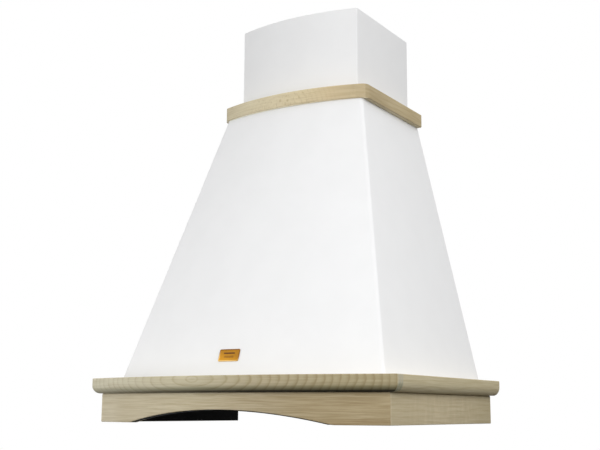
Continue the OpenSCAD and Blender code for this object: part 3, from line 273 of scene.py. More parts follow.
SHEET = 1.5
HOOD_W = 600.0
SIDE_DEPTH = 410.0
CORNICE_BOW = 50.0
CORNICE_REACH = SIDE_DEPTH + CORNICE_BOW
CORNICE_R = arc_r(HOOD_W, CORNICE_BOW)
CORNICE_H = 26.0
CORNICE_RAIL = 60.0
CORNICE_CORNER = 4.0
NOSE_DEPTH = 12.0
NOSE_HEIGHT = 15.5
SKIRT_H = 49.0
SKIRT_T = 12.0
# How far the skirt stands back from the cornice, at each side and at the front
SKIRT_SIDE_BACK = 17.0
SKIRT_BACK = 14.0
SKIRT_W = HOOD_W - 2 * SKIRT_SIDE_BACK
SKIRT_REACH = CORNICE_REACH - SKIRT_BACK
SKIRT_R = CORNICE_R - SKIRT_BACK
SKIRT_CORNER_Y = -SKIRT_REACH + fall(SKIRT_R, SKIRT_W / 2)
WALL_GAP = 3.2
ARCH_SPAN = 396.0
ARCH_RISE = 21.8
ARCH_R = arc_r(ARCH_SPAN, ARCH_RISE)
CANOPY_H = 493.5
CHIMNEY_H = 181.5
FOOT_Z = SKIRT_H + CORNICE_H
TOP_Z = FOOT_Z + CANOPY_H
PLATE_Z = TOP_Z - SHEET
PAN_Z = SKIRT_H - SHEET
CHIMNEY_TOP = TOP_Z + CHIMNEY_H
CHIMNEY_W = 252.0
CHIMNEY_REACH = 226.5
CHIMNEY_R = arc_r(CHIMNEY_W, 19.5)
COLLAR_IN = 30.0
COLLAR_RAIL = 29.5
COLLAR_CORNER = 22.0
COLLAR_H = 26.0
# Outlines, as bowed() gives them
CORNICE = (HOOD_W, CORNICE_REACH, CORNICE_R)
SKIRT = (SKIRT_W, SKIRT_REACH, SKIRT_R)
COLLAR = (CHIMNEY_W + 2 * COLLAR_IN, CHIMNEY_REACH + COLLAR_IN, CHIMNEY_R + COLLAR_IN)
CHIMNEY = (CHIMNEY_W, CHIMNEY_REACH, CHIMNEY_R)
FOOT = bowed(522.0, 419.3, 44.0)
TOP = bowed(294.0, 251.0, 22.5)
FOLD = 8.0
FOOT_FLANGE = 15.5
COVER_T = 1.0
COVER_FLANGE = 10.0
# How far the upper cover lies inside the lower one, and below its top
UPPER_IN = 1.5
UPPER_LOW = 1.0

BADGE_W = 40.0
BADGE_H = 21.0
BADGE_T = 1.2
BADGE_SUNK = 0.45
BADGE_RIM = 1.9
BADGE_CORNER = 2.4
# The badge's raised bars: width, height and place above its middle
BADGE_BARS = ((22.0, 2.2, 3.4), (19.0, 0.8, -1.8), (19.0, 0.8, -3.6))
BAR_CORNER = 0.4
BADGE_SHIFT = 4.0
# Height of the badge's middle above the canopy's foot, and in the row frame
BADGE_RISE = 33.5
BADGE_MID = FOOT_Z + BADGE_RISE - FIX_H
# Space between a piece and what it stands on
SEAT = 0.3

# Wood

# Darkness of the short flecks, and how much the wood gets lighter between streaks of full strength
FLECK = 0.12
STREAK_GAIN = 0.14
# Places along the board and heights: the eyes of two boards, and the knots of the collar's front
CORNICE_EYE = (-40.0, 69.3)
COLLAR_EYE = (-10.0, 560.0)
KNOTS = ((-9.0, TOP_Z + 12.0), (7.0, TOP_Z + 10.0))
# The first growth line of the cornice's front is an oval round this place, with these half axes
OVAL = (-40.0, 69.5)
OVAL_HALF = (12.0, 4.8)
# Height of the painted shade under the cornice's nose
NOSE_SHADE_H = 10.0
# Sets the grain of the left boards apart from that of the right ones
SIDE_SHIFT = 700.0


class Board:
    """Where a point of a board lies, in mm.

    grain is a vector along the board, in and up, that differs from board to board. place counts along
    the board, and depth counts in from its face.
    """

    def __init__(self, grain, place, depth, height):
        self.grain = grain
        self.place = place
        self.depth = depth
        self.height = height


def board_coords(t, outline, side, shift):
    """The Board of a front or side piece with this outline; shift sets its grain apart."""
    w, reach, r = outline
    x, y, z = t.xyz(t.mm())
    height = t.math("ADD", z, FIX_H)
    if side:
        depth = t.math("SUBTRACT", w / 2, t.math("ABSOLUTE", x))
        moved = t.math("ADD", t.math("MULTIPLY_ADD", t.math("SIGN", x), SIDE_SHIFT, y), shift)
        return Board(t.combine(moved, depth, height), y, depth, height)
    away = t.length(t.combine(x, t.math("SUBTRACT", y, r - reach), 0.0))
    depth = t.math("SUBTRACT", r, away)
    return Board(t.combine(t.math("ADD", x, shift), depth, height), x, depth, height)


def centred_noise(t, vector, scale, detail):
    """A vector noise round zero."""
    return t.vmath("SUBTRACT", t.noise(vector, scale, detail).outputs["Color"], (0.5, 0.5, 0.5))


def growth_lines(t, board, eye, stretch, growth, wander):
    """Nested growth lines round an eye: a count that passes one whole number at each line."""
    drift = centred_noise(t, board.grain, (0.014, 0.008, 0.012), 3.0)
    local = t.combine(t.math("SUBTRACT", board.place, eye[0]), board.depth,
                      t.math("SUBTRACT", board.height, eye[1]))
    local = t.vmath("ADD", local, t.times(drift, wander))
    away = t.length(t.times(local, stretch))
    return t.math("DIVIDE", t.math("POWER", away, 1.5), growth)


def wood(name, outline, tones, side=False, shift=0.0, streaks=(0.4, 0.4), mottle=0.3, lines=None,
         marks=None):
    """Bare beech: a tone that drifts along the board, fibre streaks, short dark flecks, growth lines.

    tones = (place along the board in mm, colour) from one end to the other. streaks = strength of the
    fibre at the two ends. lines() and marks() add what one board has of its own: the darkness of its
    growth lines, and colour on top, which on some boards is painted shade or painted light.
    """
    mat = bpy.data.materials.new(name)
    t = Tree(mat)
    board = board_coords(t, outline, side, shift)
    grain = board.grain
    first, last = tones[0][0], tones[-1][0]
    along = t.math("DIVIDE", t.math("SUBTRACT", board.place, first), last - first)
    base = t.ramp(along, [((p - first) / (last - first), c) for p, c in tones])
    drift = centred_noise(t, grain, (0.010, 0.03, 0.03), 2.0)
    bent = t.vmath("ADD", grain, t.times(drift, (0.0, 5.0, 5.0)))
    fibre = t.grey(t.noise(bent, (0.012, 0.12, 0.46), 5.0, 0.62), [(0.38, 0.0), (0.62, 1.0)])
    short = t.grey(t.noise(grain, (0.16, 1.1, 1.1), 2.0, 0.6), [(0.60, 0.0), (0.72, 1.0)])
    broad = t.grey(t.noise(bent, (0.012, 0.03, 0.05), 2.0), [(0.34, 0.0), (0.66, 1.0)])
    strength = t.grey(along, [(0.0, streaks[0]), (1.0, streaks[1])])
    amount = t.math("MULTIPLY_ADD", fibre, strength, t.math("MULTIPLY", short, FLECK))
    if lines:
        amount = t.math("ADD", amount, lines(t, board))
    # The tones give the board's mean colour, so the wood between the streaks is lighter
    gain = STREAK_GAIN * (streaks[0] + streaks[1]) / 2
    light = t.mix(1.0, base, (1.0 + gain, 1.0 + 1.03 * gain, 1.0 + 1.2 * gain), "MULTIPLY")
    dark = t.mix(1.0, base, (0.78, 0.73, 0.64), "MULTIPLY")
    color = t.mix(t.math("MULTIPLY", amount, 1.0, clamp=True), light, dark)
    duller = t.mix(1.0, base, (0.95, 0.92, 0.86), "MULTIPLY")
    color = t.mix(t.math("MULTIPLY", broad, mottle), color, duller)
    if marks:
        color = marks(t, color, board)
    relief = t.math("SUBTRACT", t.math("MULTIPLY", fibre, 0.6), t.math("MULTIPLY", short, 0.5))
    t.principled(color, t.grey(fibre, [(0.0, 0.58), (1.0, 0.70)]), normal=t.bump(relief, 0.3, 0.0003),
                 **{"Specular IOR Level": 0.14})
    return mat


def across(t, board):
    """0 at the left end of the hood's front, 1 at the right end."""
    return t.math("MULTIPLY_ADD", board.place, 1.0 / HOOD_W, 0.5)


def cornice_lines(t, board):
    """Ovals of the bowed front rail, round one eye left of the middle; sharper towards the right."""
    count = growth_lines(t, board, CORNICE_EYE, (1.0, 1.5, 3.7), 300.0, (16.0, 3.0, 3.0))
    line = t.grey(t.math("FRACT", count), [(0.0, 0.4), (0.08, 0.0), (0.45, 0.0), (0.78, 0.35),
                                           (0.89, 1.0), (0.96, 1.0), (1.0, 0.4)])
    oval = t.length(t.combine(
        t.math("MULTIPLY_ADD", board.place, 1.0 / OVAL_HALF[0], -OVAL[0] / OVAL_HALF[0]), 0.0,
        t.math("MULTIPLY_ADD", board.height, 1.0 / OVAL_HALF[1], -OVAL[1] / OVAL_HALF[1])))
    line = t.math("MULTIPLY_ADD", t.band(oval, 0.84, 1.16, 0.12), 0.8, line)
    side = t.grey(across(t, board), [(0.0, 0.55), (0.42, 0.7), (0.62, 1.1), (0.8, 1.5)])
    uneven = t.grey(t.noise(board.grain, (0.03, 0.05, 0.10), 2.0), [(0.34, 0.45), (0.62, 1.0)])
    return t.math("MULTIPLY", t.math("MULTIPLY", line, side), uneven)


def collar_lines(t, board):
    """Faint arcs and upright flecks near the middle of the collar's front, and two small knots."""
    count = growth_lines(t, board, COLLAR_EYE, (1.0, 0.8, 1.2), 120.0, (7.0, 3.0, 3.0))
    line = t.grey(t.math("FRACT", count), [(0.0, 0.2), (0.1, 0.0), (0.5, 0.0), (0.92, 0.8), (1.0, 0.2)])
    near = t.band(board.place, -70.0, 100.0, 25.0)
    total = t.math("MULTIPLY", t.math("MULTIPLY", line, near), 0.24)
    upright = t.grey(t.noise(board.grain, (0.40, 0.4, 0.13), 3.0, 0.6), [(0.56, 0.0), (0.68, 0.9)])
    total = t.math("MULTIPLY_ADD", upright, t.band(board.place, -80.0, 60.0, 30.0), total)
    for x, z in KNOTS:
        local = t.combine(t.math("SUBTRACT", board.place, x), 0.0, t.math("SUBTRACT", board.height, z))
        dark = t.add("ShaderNodeMapRange", {0: t.length(local), 1: 1.2, 2: 3.6, 3: 0.8, 4: 0.0})
        total = t.math("ADD", total, dark)
    return total


def side_lines(t, board):
    """Faint growth lines that run along a side board."""
    drift = t.noise(board.grain, (0.008, 0.02, 0.02), 2.0).outputs["Color"]
    bent = t.vmath("ADD", board.grain, t.times(drift, (0.0, 20.0, 20.0)))
    count = t.vmath("DOT_PRODUCT", bent, (0.0, 0.03, 0.11)).outputs["Value"]
    line = t.grey(t.math("FRACT", count), [(0.0, 0.3), (0.1, 0.0), (0.5, 0.0), (0.9, 1.0), (1.0, 0.3)])
    return t.math("MULTIPLY", line, 0.28)


def cornice_front_painted_shade(t, color, board):
    """Painted shade under the nose, deepest from the middle to the right."""
    # Painted shade: the wood darkens to nearly black at the foot of the nose
    low = t.ramp(t.math("MULTIPLY_ADD", board.height, 1.0 / NOSE_SHADE_H, -SKIRT_H / NOSE_SHADE_H),
                 [(0.0, (0.03, 0.03, 0.03)), (0.16, (0.055, 0.058, 0.054)), (0.34, (0.37, 0.385, 0.36)),
                  (0.72, (0.72, 0.75, 0.71)), (1.0, (1.0, 1.0, 1.0))])
    right = t.grey(across(t, board), [(0.0, 0.35), (0.45, 0.9), (0.6, 1.0)])
    return t.mix(right, color, t.mix(1.0, color, low, "MULTIPLY"))


def cornice_corner_marks(t, color, board):
    """The filler beside the cornice's mitre: a grey band, darker in its lower half."""
    filler = t.band(board.place, -413.0, -391.0, 1.5)
    uneven = t.grey(t.noise(board.grain, (0.35, 0.2, 0.04), 2.0), [(0.40, 0.3), (0.62, 0.85)])
    low = t.step(board.height, SKIRT_H + 16.0, SKIRT_H + 9.0)
    tint = t.mix(low, (0.43, 0.41, 0.32), (0.25, 0.265, 0.19))
    return t.mix(t.math("MULTIPLY", filler, uneven), color, tint)


def skirt_front_marks(t, color, board):
    """The board gets browner towards its right end and its lower edge."""
    right = t.step(board.place, 60.0, 230.0)
    low = t.step(board.height, 14.0, 2.0)
    return t.mix(t.math("MULTIPLY", t.math("MULTIPLY", right, low), 0.5), color,
                 t.mix(1.0, color, (0.84, 0.76, 0.66), "MULTIPLY"))


def skirt_side_figure_and_highlight(t, color, board):
    """A pale line at the mitre, a painted highlight, and soft pale figure across the middle of the board.
    """
    # Painted highlight: a pale line along the mitre
    mitre = t.math("SUBTRACT", 1.0, t.step(board.place, SKIRT_CORNER_Y + 3.0, SKIRT_CORNER_Y + 6.0))
    figure = t.grey(t.noise(board.grain, (0.08, 0.05, 0.03), 3.0, 0.55), [(0.40, 0.0), (0.66, 1.0)])
    figure = t.math("MULTIPLY", figure, t.band(board.place, -330.0, -70.0, 50.0))
    pale = t.math("MULTIPLY_ADD", figure, 0.8, t.math("MULTIPLY", mitre, 0.5), clamp=True)
    return t.mix(pale, color, t.mix(1.0, color, (1.12, 1.12, 1.16), "MULTIPLY"))


def collar_painted_underside_light(t, color, board):
    """Painted light: the underside is paler than the face."""
    low = t.step(board.height, TOP_Z + 1.2, TOP_Z + 0.3)
    under = t.math("MULTIPLY", low, t.step(board.depth, 0.8, 2.2))
    # Painted light on the underside
    return t.mix(under, color, t.mix(1.0, color, (1.40, 1.50, 1.70), "MULTIPLY"))


mat_cornice_front = wood(
    "wood_cornice_front", CORNICE,
    [(-270.0, (0.605, 0.57, 0.442)), (-65.0, (0.585, 0.537, 0.382)), (110.0, (0.46, 0.398, 0.26)),
     (200.0, (0.433, 0.374, 0.234))],
    streaks=(0.45, 0.55), lines=cornice_lines, marks=cornice_front_painted_shade)
mat_cornice_side = wood(
    "wood_cornice_side", CORNICE,
    [(-440.0, (0.53, 0.47, 0.314)), (-150.0, (0.53, 0.47, 0.312)), (0.0, (0.525, 0.459, 0.304))],
    side=True, shift=400.0, streaks=(0.55, 0.55), lines=side_lines, marks=cornice_corner_marks)
mat_skirt_front = wood(
    "wood_skirt_front", SKIRT,
    [(-250.0, (0.563, 0.503, 0.368)), (-60.0, (0.584, 0.519, 0.364)), (75.0, (0.486, 0.411, 0.274)),
     (160.0, (0.453, 0.371, 0.23))],
    shift=900.0, streaks=(0.65, 1.15), mottle=0.4, marks=skirt_front_marks)
mat_skirt_side = wood(
    "wood_skirt_side", SKIRT,
    [(-400.0, (0.528, 0.455, 0.302)), (-200.0, (0.528, 0.455, 0.302)), (0.0, (0.47, 0.405, 0.258))],
    side=True, shift=1500.0, streaks=(0.4, 0.4), lines=side_lines, marks=skirt_side_figure_and_highlight)
mat_collar_front = wood(
    "wood_collar_front", COLLAR,
    [(-150.0, (0.62, 0.555, 0.40)), (-80.0, (0.70, 0.63, 0.45)), (-20.0, (0.72, 0.638, 0.45)),
     (40.0, (0.68, 0.585, 0.386)), (90.0, (0.64, 0.53, 0.34)), (140.0, (0.54, 0.445, 0.28))],
    shift=2600.0, streaks=(0.6, 0.5), lines=collar_lines, marks=collar_painted_underside_light)
mat_collar_side = wood(
    "wood_collar_side", COLLAR,
    [(-250.0, (0.475, 0.39, 0.242)), (-180.0, (0.48, 0.395, 0.242)), (-100.0, (0.53, 0.44, 0.272)),
     (0.0, (0.54, 0.45, 0.28))],
    side=True, shift=2300.0, streaks=(0.6, 0.6), lines=side_lines, marks=collar_painted_underside_light)

# Other materials


def painted(name, color, rough=0.42, grain=0.04, specular=0.4):
    """Powder coat: fine orange peel, and a faint unevenness in its gloss."""
    mat = bpy.data.materials.new(name)
    t = Tree(mat)
    mm = t.mm()
    peel = t.noise(mm, (0.9, 0.9, 0.9))
    broad = t.noise(mm, (0.02, 0.02, 0.02))
    tint = t.mix(1.0, t.grey(broad, [(0.35, 0.985), (0.65, 1.0)]), color, "MULTIPLY")
    gloss = t.grey(broad, [(0.3, rough - 0.03), (0.7, rough + 0.05)])
    t.principled(tint, gloss, normal=t.bump(peel, grain, 0.0004), **{"Specular IOR Level": specular})
    return mat


def zinc_plate(name, color=(0.62, 0.63, 0.64), rough=0.38):
    """Galvanised sheet: large soft crystals with slightly different gloss and tone."""
    mat = bpy.data.materials.new(name)
    t = Tree(mat)
    mm = t.mm()
    bent = t.vmath("ADD", mm, t.times(t.noise(mm, (0.2, 0.2, 0.2)).outputs["Color"], (4, 4, 4)))
    cells = t.add("ShaderNodeTexVoronoi", {"Vector": t.times(bent, (0.12, 0.12, 0.12)), "Scale": 1.0})
    value = t.add("ShaderNodeSeparateColor", {0: cells.outputs["Color"]}).outputs[0]
    tint = t.mix(value, tuple(c * 0.86 for c in color), tuple(min(1.0, c * 1.1) for c in color))
    gloss = t.grey(value, [(0.0, rough - 0.08), (1.0, rough + 0.12)])
    t.principled(tint, gloss, 0.85, normal=t.bump(cells.outputs["Distance"], 0.08, 0.0003))
    return mat


def brushed(name, color, rough=0.3, along=(1.0, 0.02, 1.0)):
    """Metal with fine scratches, long in the direction that has a small factor in along."""
    mat = bpy.data.materials.new(name)
    t = Tree(mat)
    hair = t.noise(t.mm(), tuple(4.0 * a for a in along), 4.0, 0.7)
    tint = t.mix(hair, tuple(c * 0.85 for c in color), tuple(min(1.0, c * 1.08) for c in color))
    gloss = t.grey(hair, [(0.3, rough - 0.08), (0.7, rough + 0.12)])
    t.principled(tint, gloss, 1.0, normal=t.bump(hair, 0.12, 0.0002))
    return mat


def plastic(name, color, rough=0.45, grain=0.15):
    """Moulded plastic: fine spark-eroded grain and a faint tone drift."""
    mat = bpy.data.materials.new(name)
    t = Tree(mat)
    mm = t.mm()
    grit = t.noise(mm, (2.2, 2.2, 2.2), 3.0, 0.7)
    tint = t.mix(t.noise(mm, (0.05, 0.05, 0.05)), tuple(c * 0.92 for c in color), color)
    gloss = t.grey(grit, [(0.3, rough - 0.05), (0.7, rough + 0.08)])
    t.principled(tint, gloss, normal=t.bump(grit, grain, 0.0002))
    return mat


def glass(name, color, rough):
    """Frosted glass with a faint prism pattern."""
    mat = bpy.data.materials.new(name)
    t = Tree(mat)
    prism = t.add("ShaderNodeTexVoronoi", {"Vector": t.times(t.mm(), (0.6, 0.6, 0.6)), "Scale": 1.0})
    prism = prism.outputs["Distance"]
    tint = t.mix(prism, color, tuple(c * 0.93 for c in color))
    t.principled(tint, rough, normal=t.bump(prism, 0.4, 0.0005),
                 **{"Transmission Weight": 0.55, "IOR": 1.45})
    return mat


def gold_plate(name, color, dull, pale):
    """Satin gold: a brushed field with duller clouds, and a painted highlight that makes it paler towards
    its lower left.
    """
    mat = bpy.data.materials.new(name)
    t = Tree(mat)
    mm = t.mm()
    hair = t.noise(mm, (0.12, 3.0, 3.0), 4.0, 0.7)
    cloud = t.grey(t.noise(mm, (0.12, 0.12, 0.12), 2.0), [(0.35, 0.0), (0.65, 1.0)])
    tint = t.mix(hair, tuple(c * 0.9 for c in color), tuple(min(1.0, c * 1.1) for c in color))
    tint = t.mix(t.math("MULTIPLY", cloud, 0.35), tint, dull)
    x, _, z = t.xyz(mm)
    down = t.math("MULTIPLY_ADD", x, 0.25, z)
    # Painted highlight: the colour turns pale towards the lower left
    tint = t.mix(t.step(down, BADGE_MID + 3.0, BADGE_MID - 11.0), tint, pale)
    t.principled(tint, t.grey(hair, [(0.3, 0.32), (0.7, 0.46)]), 0.55, normal=t.bump(hair, 0.08, 0.0002))
    return mat


mat_white = painted("white_paint", (0.859, 0.861, 0.865), specular=0.2)
mat_lining = painted("lining_black", (0.0066, 0.0066, 0.0066), 0.6, 0.06, 0.02)
mat_black = painted("black_paint", (0.014, 0.014, 0.015), 0.42, 0.06, 0.3)
mat_zinc = zinc_plate("zinc_sheet")
mat_screw = brushed("zinc_screw", (0.66, 0.66, 0.64), 0.28, (1.0, 1.0, 1.0))
mat_gold = gold_plate("gold_plate", (0.45, 0.20, 0.006), (0.33, 0.14, 0.004), (0.60, 0.28, 0.012))
# The rim: darker than the field, a painted shade, and much paler at its lower edge, a painted highlight
mat_gold_rim = gold_plate("gold_rim", (0.27, 0.115, 0.005), (0.20, 0.08, 0.004), (0.72, 0.48, 0.16))
mat_gold_bar = gold_plate("gold_bar", (0.10, 0.032, 0.004), (0.07, 0.024, 0.003), (0.34, 0.14, 0.006))
mat_alu = brushed("aluminium", (0.74, 0.75, 0.76), 0.34, (1.0, 0.05, 1.0))
mat_mesh = brushed("aluminium_mesh", (0.78, 0.79, 0.80), 0.42, (1.0, 1.0, 1.0))
mat_grey_plastic = plastic("grey_plastic", (0.10, 0.105, 0.11))
mat_black_plastic = plastic("black_plastic", (0.018, 0.018, 0.019))
mat_pale_plastic = plastic("pale_plastic", (0.72, 0.72, 0.69), 0.4, 0.08)
mat_rubber = plastic("rubber", (0.02, 0.02, 0.02), 0.75, 0.3)
mat_lens = glass("lens_glass", (0.88, 0.92, 0.93), 0.35)
mat_bulb = glass("bulb_glass", (0.97, 0.95, 0.88), 0.12)

# Mesh helpers


def finish_piece(name, verts, faces, mats, body, replaces=(), slot=None, smooth_angle=30.0,
                 face_mats=None):
    """Makes a piece of a mesh in the row frame, in metres, and lets it ride on its body."""
    mesh = bpy.data.meshes.new(name)
    mesh.from_pydata([tuple(v) for v in verts], [], faces)
    mats = mats if isinstance(mats, (list, tuple)) else [mats]
    for mat in mats:
        mesh.materials.append(mat)
    if face_mats:
        mesh.polygons.foreach_set("material_index", face_mats)
    bm = bmesh.new()
    bm.from_mesh(mesh)
    bmesh.ops.remove_doubles(bm, verts=bm.verts, dist=1e-7)
    bmesh.ops.recalc_face_normals(bm, faces=bm.faces)
    limit = math.radians(smooth_angle)
    for face in bm.faces:
        face.smooth = True
    for edge in bm.edges:
        edge.smooth = len(edge.link_faces) == 2 and edge.calc_face_angle(0.0) < limit
    bm.to_mesh(mesh)
    bm.free()
    obj = bpy.data.objects.new(name, mesh)
    bpy.context.scene.collection.objects.link(obj)
    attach(obj, body)
    if replaces:
        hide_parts(*replaces)
    return obj


def loft(rings, caps=True):
    """Vertices and faces of a skin through rings of equal length, with or without caps at its ends."""
    m = len(rings[0])
    verts = [p for ring in rings for p in ring]
    faces = []
    for i in range(len(rings) - 1):
        for k in range(m):
            a, b = i * m + k, i * m + (k + 1) % m
            faces.append((a, b, b + m, a + m))
    if caps:
        faces.append(tuple(range(m - 1, -1, -1)))
        faces.append(tuple((len(rings) - 1) * m + k for k in range(m)))
    return verts, faces


def join(parts):
    """One list of vertices and of faces made of several."""
    verts, faces = [], []
    for more_verts, more_faces in parts:
        start = len(verts)
        verts += more_verts
        faces += [tuple(start + k for k in face) for face in more_faces]
    return verts, faces


def lathe(profile, x, y, steps=64):
    """A closed profile of (radius, height) turned round the upright axis at x, y."""
    rings = []
    for k in range(steps):
        a = 2 * math.pi * k / steps
        rings.append([at(x + r * math.cos(a), y + r * math.sin(a), z) for r, z in profile])
    rings.append(rings[0])
    return loft(rings, caps=False)


def rounded_section(depth, height, radii, steps=4):
    """A rail's section with its corners rounded: foot and head of the face, head and foot of the back."""
    points = [(0, 0), (0, height), (depth, height), (depth, 0)]
    out = []
    for i, ((d, z), r) in enumerate(zip(points, radii)):
        if r <= 0:
            out.append((d, z))
            continue
        before = Vector(points[i - 1]) - Vector((d, z))
        after = Vector(points[(i + 1) % len(points)]) - Vector((d, z))
        before.normalize()
        after.normalize()
        half = before.angle(after) / 2
        reach = r / math.tan(half)
        middle = Vector((d, z)) + (before + after).normalized() * (r / math.sin(half))
        start = Vector((d, z)) + before * reach - middle
        end = Vector((d, z)) + after * reach - middle
        a0 = math.atan2(start.y, start.x)
        a1 = math.atan2(end.y, end.x)
        turn = (a1 - a0 + math.pi) % (2 * math.pi) - math.pi
        for k in range(steps + 1):
            a = a0 + turn * k / steps
            out.append((middle.x + r * math.cos(a), middle.y + r * math.sin(a)))
    return out


def shrunk(profile, by):
    """The profile drawn in a little, for the eased edge at a mitre."""
    depths, heights = zip(*profile)

    def drawn_in(value, values):
        middle = (min(values) + max(values)) / 2
        half = (max(values) - min(values)) / 2
        return middle + (value - middle) * (1 - by / half)

    return [(drawn_in(d, depths), drawn_in(z, heights)) for d, z in profile]


# Wooden rails

MITRE_EASE = 0.35
CORNER_STEPS = 5
WOOD_SMOOTH = 28.0


def corner_eased(x, y, w, reach, r, corner_r):
    """Draws a point that lies in a sharp front corner in to the corner's rounding."""
    cx = w / 2 - corner_r
    cy = r - reach - math.sqrt((r - corner_r) ** 2 - cx * cx)
    dx, dy = abs(x) - cx, y - cy
    away = math.hypot(dx, dy)
    if dx <= 0.0 or dy >= 0.0 or away <= corner_r:
        return x, y
    return math.copysign(cx + dx * corner_r / away, x), cy + dy * corner_r / away


def corner_places(corner_r):
    """Distances from a mitre at which a rail with a rounded corner gets a ring."""
    return [corner_r * k / CORNER_STEPS for k in range(1, CORNER_STEPS + 2)] if corner_r else []


def front_rail(name, outline, z, profile, mat, node, steps=96, cut=None, corner_r=0.0):
    """Bowed rail with mitred ends. cut(x, profile) may change the section along the rail."""
    w, reach, r = outline
    near = [1.0 - d / (w / 2) for d in [MITRE_EASE] + corner_places(corner_r)]
    inner = [-1.0 + 2.0 * i / steps for i in range(1, steps)]
    inner = [s for s in inner if abs(s) < near[-1] - 0.002]
    rings = []
    for s in [-1.0] + [-s for s in near] + inner + near[::-1] + [1.0]:
        section = cut(s * w / 2, profile) if cut else profile
        if abs(s) == 1.0:
            section = shrunk(section, MITRE_EASE)
        ring = []
        for d, h in section:
            x = (w / 2 - d) * s
            y = -reach + d + fall(r - d, x)
            if corner_r:
                x, y = corner_eased(x, y, w, reach, r, corner_r)
            ring.append(at(x, y, z + h))
        rings.append(ring)
    return finish_piece(name, *loft(rings), mat, "hood", (node,), "wood", WOOD_SMOOTH)


def side_rail(name, outline, z, profile, mat, node, side, wall_gap=0.0, corner_r=0.0):
    """Straight rail from the wall to the mitre at the front corner."""
    w, reach, r = outline
    rows = [(True, 0.0, None), (False, MITRE_EASE, None)]
    rows += [(False, None, d) for d in corner_places(corner_r)[::-1]]
    rows += [(False, None, MITRE_EASE), (True, None, 0.0)]
    rings = []
    for inset, from_wall, from_corner in rows:
        ring = []
        for d, h in (shrunk(profile, MITRE_EASE) if inset else profile):
            x = w / 2 - d
            corner = -reach + d + fall(r - d, x)
            y = corner + from_corner if from_wall is None else -wall_gap - from_wall
            if corner_r:
                x, y = corner_eased(x, y, w, reach, r, corner_r)
            ring.append(at(side * x, y, z + h))
        rings.append(ring)
    return finish_piece(name, *loft(rings), mat, "hood", (node,), "wood", WOOD_SMOOTH)


def arch_height(x):
    """Rise of the skirt's lower edge at x."""
    return ARCH_RISE - fall(ARCH_R, x) if abs(x) < ARCH_SPAN / 2 else 0.0


def arch_cut(x, profile):
    """Lifts the lower edge of the board to the arch."""
    rise = arch_height(x)
    return [(d, h + rise if h < SKIRT_H / 2 else h) for d, h in profile]


def nose(steps=9):
    """A quarter of an ellipse from the underside to the face, a little higher than deep."""
    turn = [k * math.pi / 2 / steps for k in range(steps + 1)]
    return [(NOSE_DEPTH * (1 - math.sin(a)), NOSE_HEIGHT * (1 - math.cos(a))) for a in turn]


cornice_profile = nose() + rounded_section(CORNICE_RAIL, CORNICE_H, (0.0, 1.5, 0.6, 0.6))[1:]
skirt_profile = rounded_section(SKIRT_T, SKIRT_H, (1.3, 2.2, 0.3, 0.7))
collar_profile = rounded_section(COLLAR_RAIL, COLLAR_H, (2.0, 2.0, 0.6, 0.6))
front_rail("cornice_front_rail", CORNICE, SKIRT_H, cornice_profile, mat_cornice_front, "cornice_front",
           corner_r=CORNICE_CORNER)
front_rail("skirt_front_board", SKIRT, 0.0, skirt_profile, mat_skirt_front, "skirt_front",
           steps=144, cut=arch_cut)
front_rail("collar_front_rail", COLLAR, TOP_Z, collar_profile, mat_collar_front, "collar_front",
           steps=64, corner_r=COLLAR_CORNER)
for side, word in ((-1, "left"), (1, "right")):
    side_rail("cornice_" + word + "_rail", CORNICE, SKIRT_H, cornice_profile, mat_cornice_side,
              "cornice_" + word, side, corner_r=CORNICE_CORNER)
    side_rail("skirt_" + word + "_board", SKIRT, 0.0, skirt_profile, mat_skirt_side,
              "skirt_" + word, side, wall_gap=WALL_GAP)
    side_rail("collar_" + word + "_rail", COLLAR, TOP_Z, collar_profile, mat_collar_side,
              "collar_" + word, side, corner_r=COLLAR_CORNER)

# Canopy and chimney


def bowed_outline(w, reach, r, inset, fold, arc_steps, fold_steps, rear=0.0):
    """Plan outline from the right rear end round the front to the left rear end."""
    x = w / 2 - inset - fold
    cy = r - reach
    y = cy - math.sqrt((r - inset - fold) ** 2 - x * x)
    turn = math.atan2(y - cy, x)
    half = [(w / 2 - inset, -rear)]
    for i in range(fold_steps + 1):
        a = turn * i / fold_steps
        half.append((x + fold * math.cos(a), y + fold * math.sin(a)))
    for i in range(1, arc_steps + 1):
        a = turn - (turn + math.pi / 2) * i / arc_steps
        half.append(((r - inset) * math.cos(a), cy + (r - inset) * math.sin(a)))
    return half + [(-px, py) for px, py in reversed(half[:-1])]


def make_canopy():
    """The tapering shell with its softly folded corners, and the flange at its foot."""
    rows, arc_steps, fold_steps = 10, 48, 8

    def ring(inset, fold, t):
        a = bowed_outline(*FOOT, inset, fold, arc_steps, fold_steps)
        b = bowed_outline(*TOP, inset, fold, arc_steps, fold_steps)
        z = FOOT_Z + (PLATE_Z - FOOT_Z) * t
        return [at(p[0] + (q[0] - p[0]) * t, p[1] + (q[1] - p[1]) * t, z) for p, q in zip(a, b)]

    loops = [ring(0.0, FOLD, i / rows) for i in range(rows + 1)]
    low = SHEET / (PLATE_Z - FOOT_Z)
    loops += [ring(SHEET, FOLD - SHEET, 1.0 - (1.0 - low) * i / rows) for i in range(rows + 1)]
    inner = bowed_outline(*FOOT, FOOT_FLANGE, 1.0, arc_steps, fold_steps)
    loops.append([at(x, y, FOOT_Z + SHEET) for x, y in inner])
    loops.append([at(x, y, FOOT_Z) for x, y in inner])
    rings = [[loop[k] for loop in loops] for k in range(len(loops[0]))]
    return finish_piece("canopy_skin", *loft(rings), mat_white, "hood", ("canopy_shell",), "white_steel")


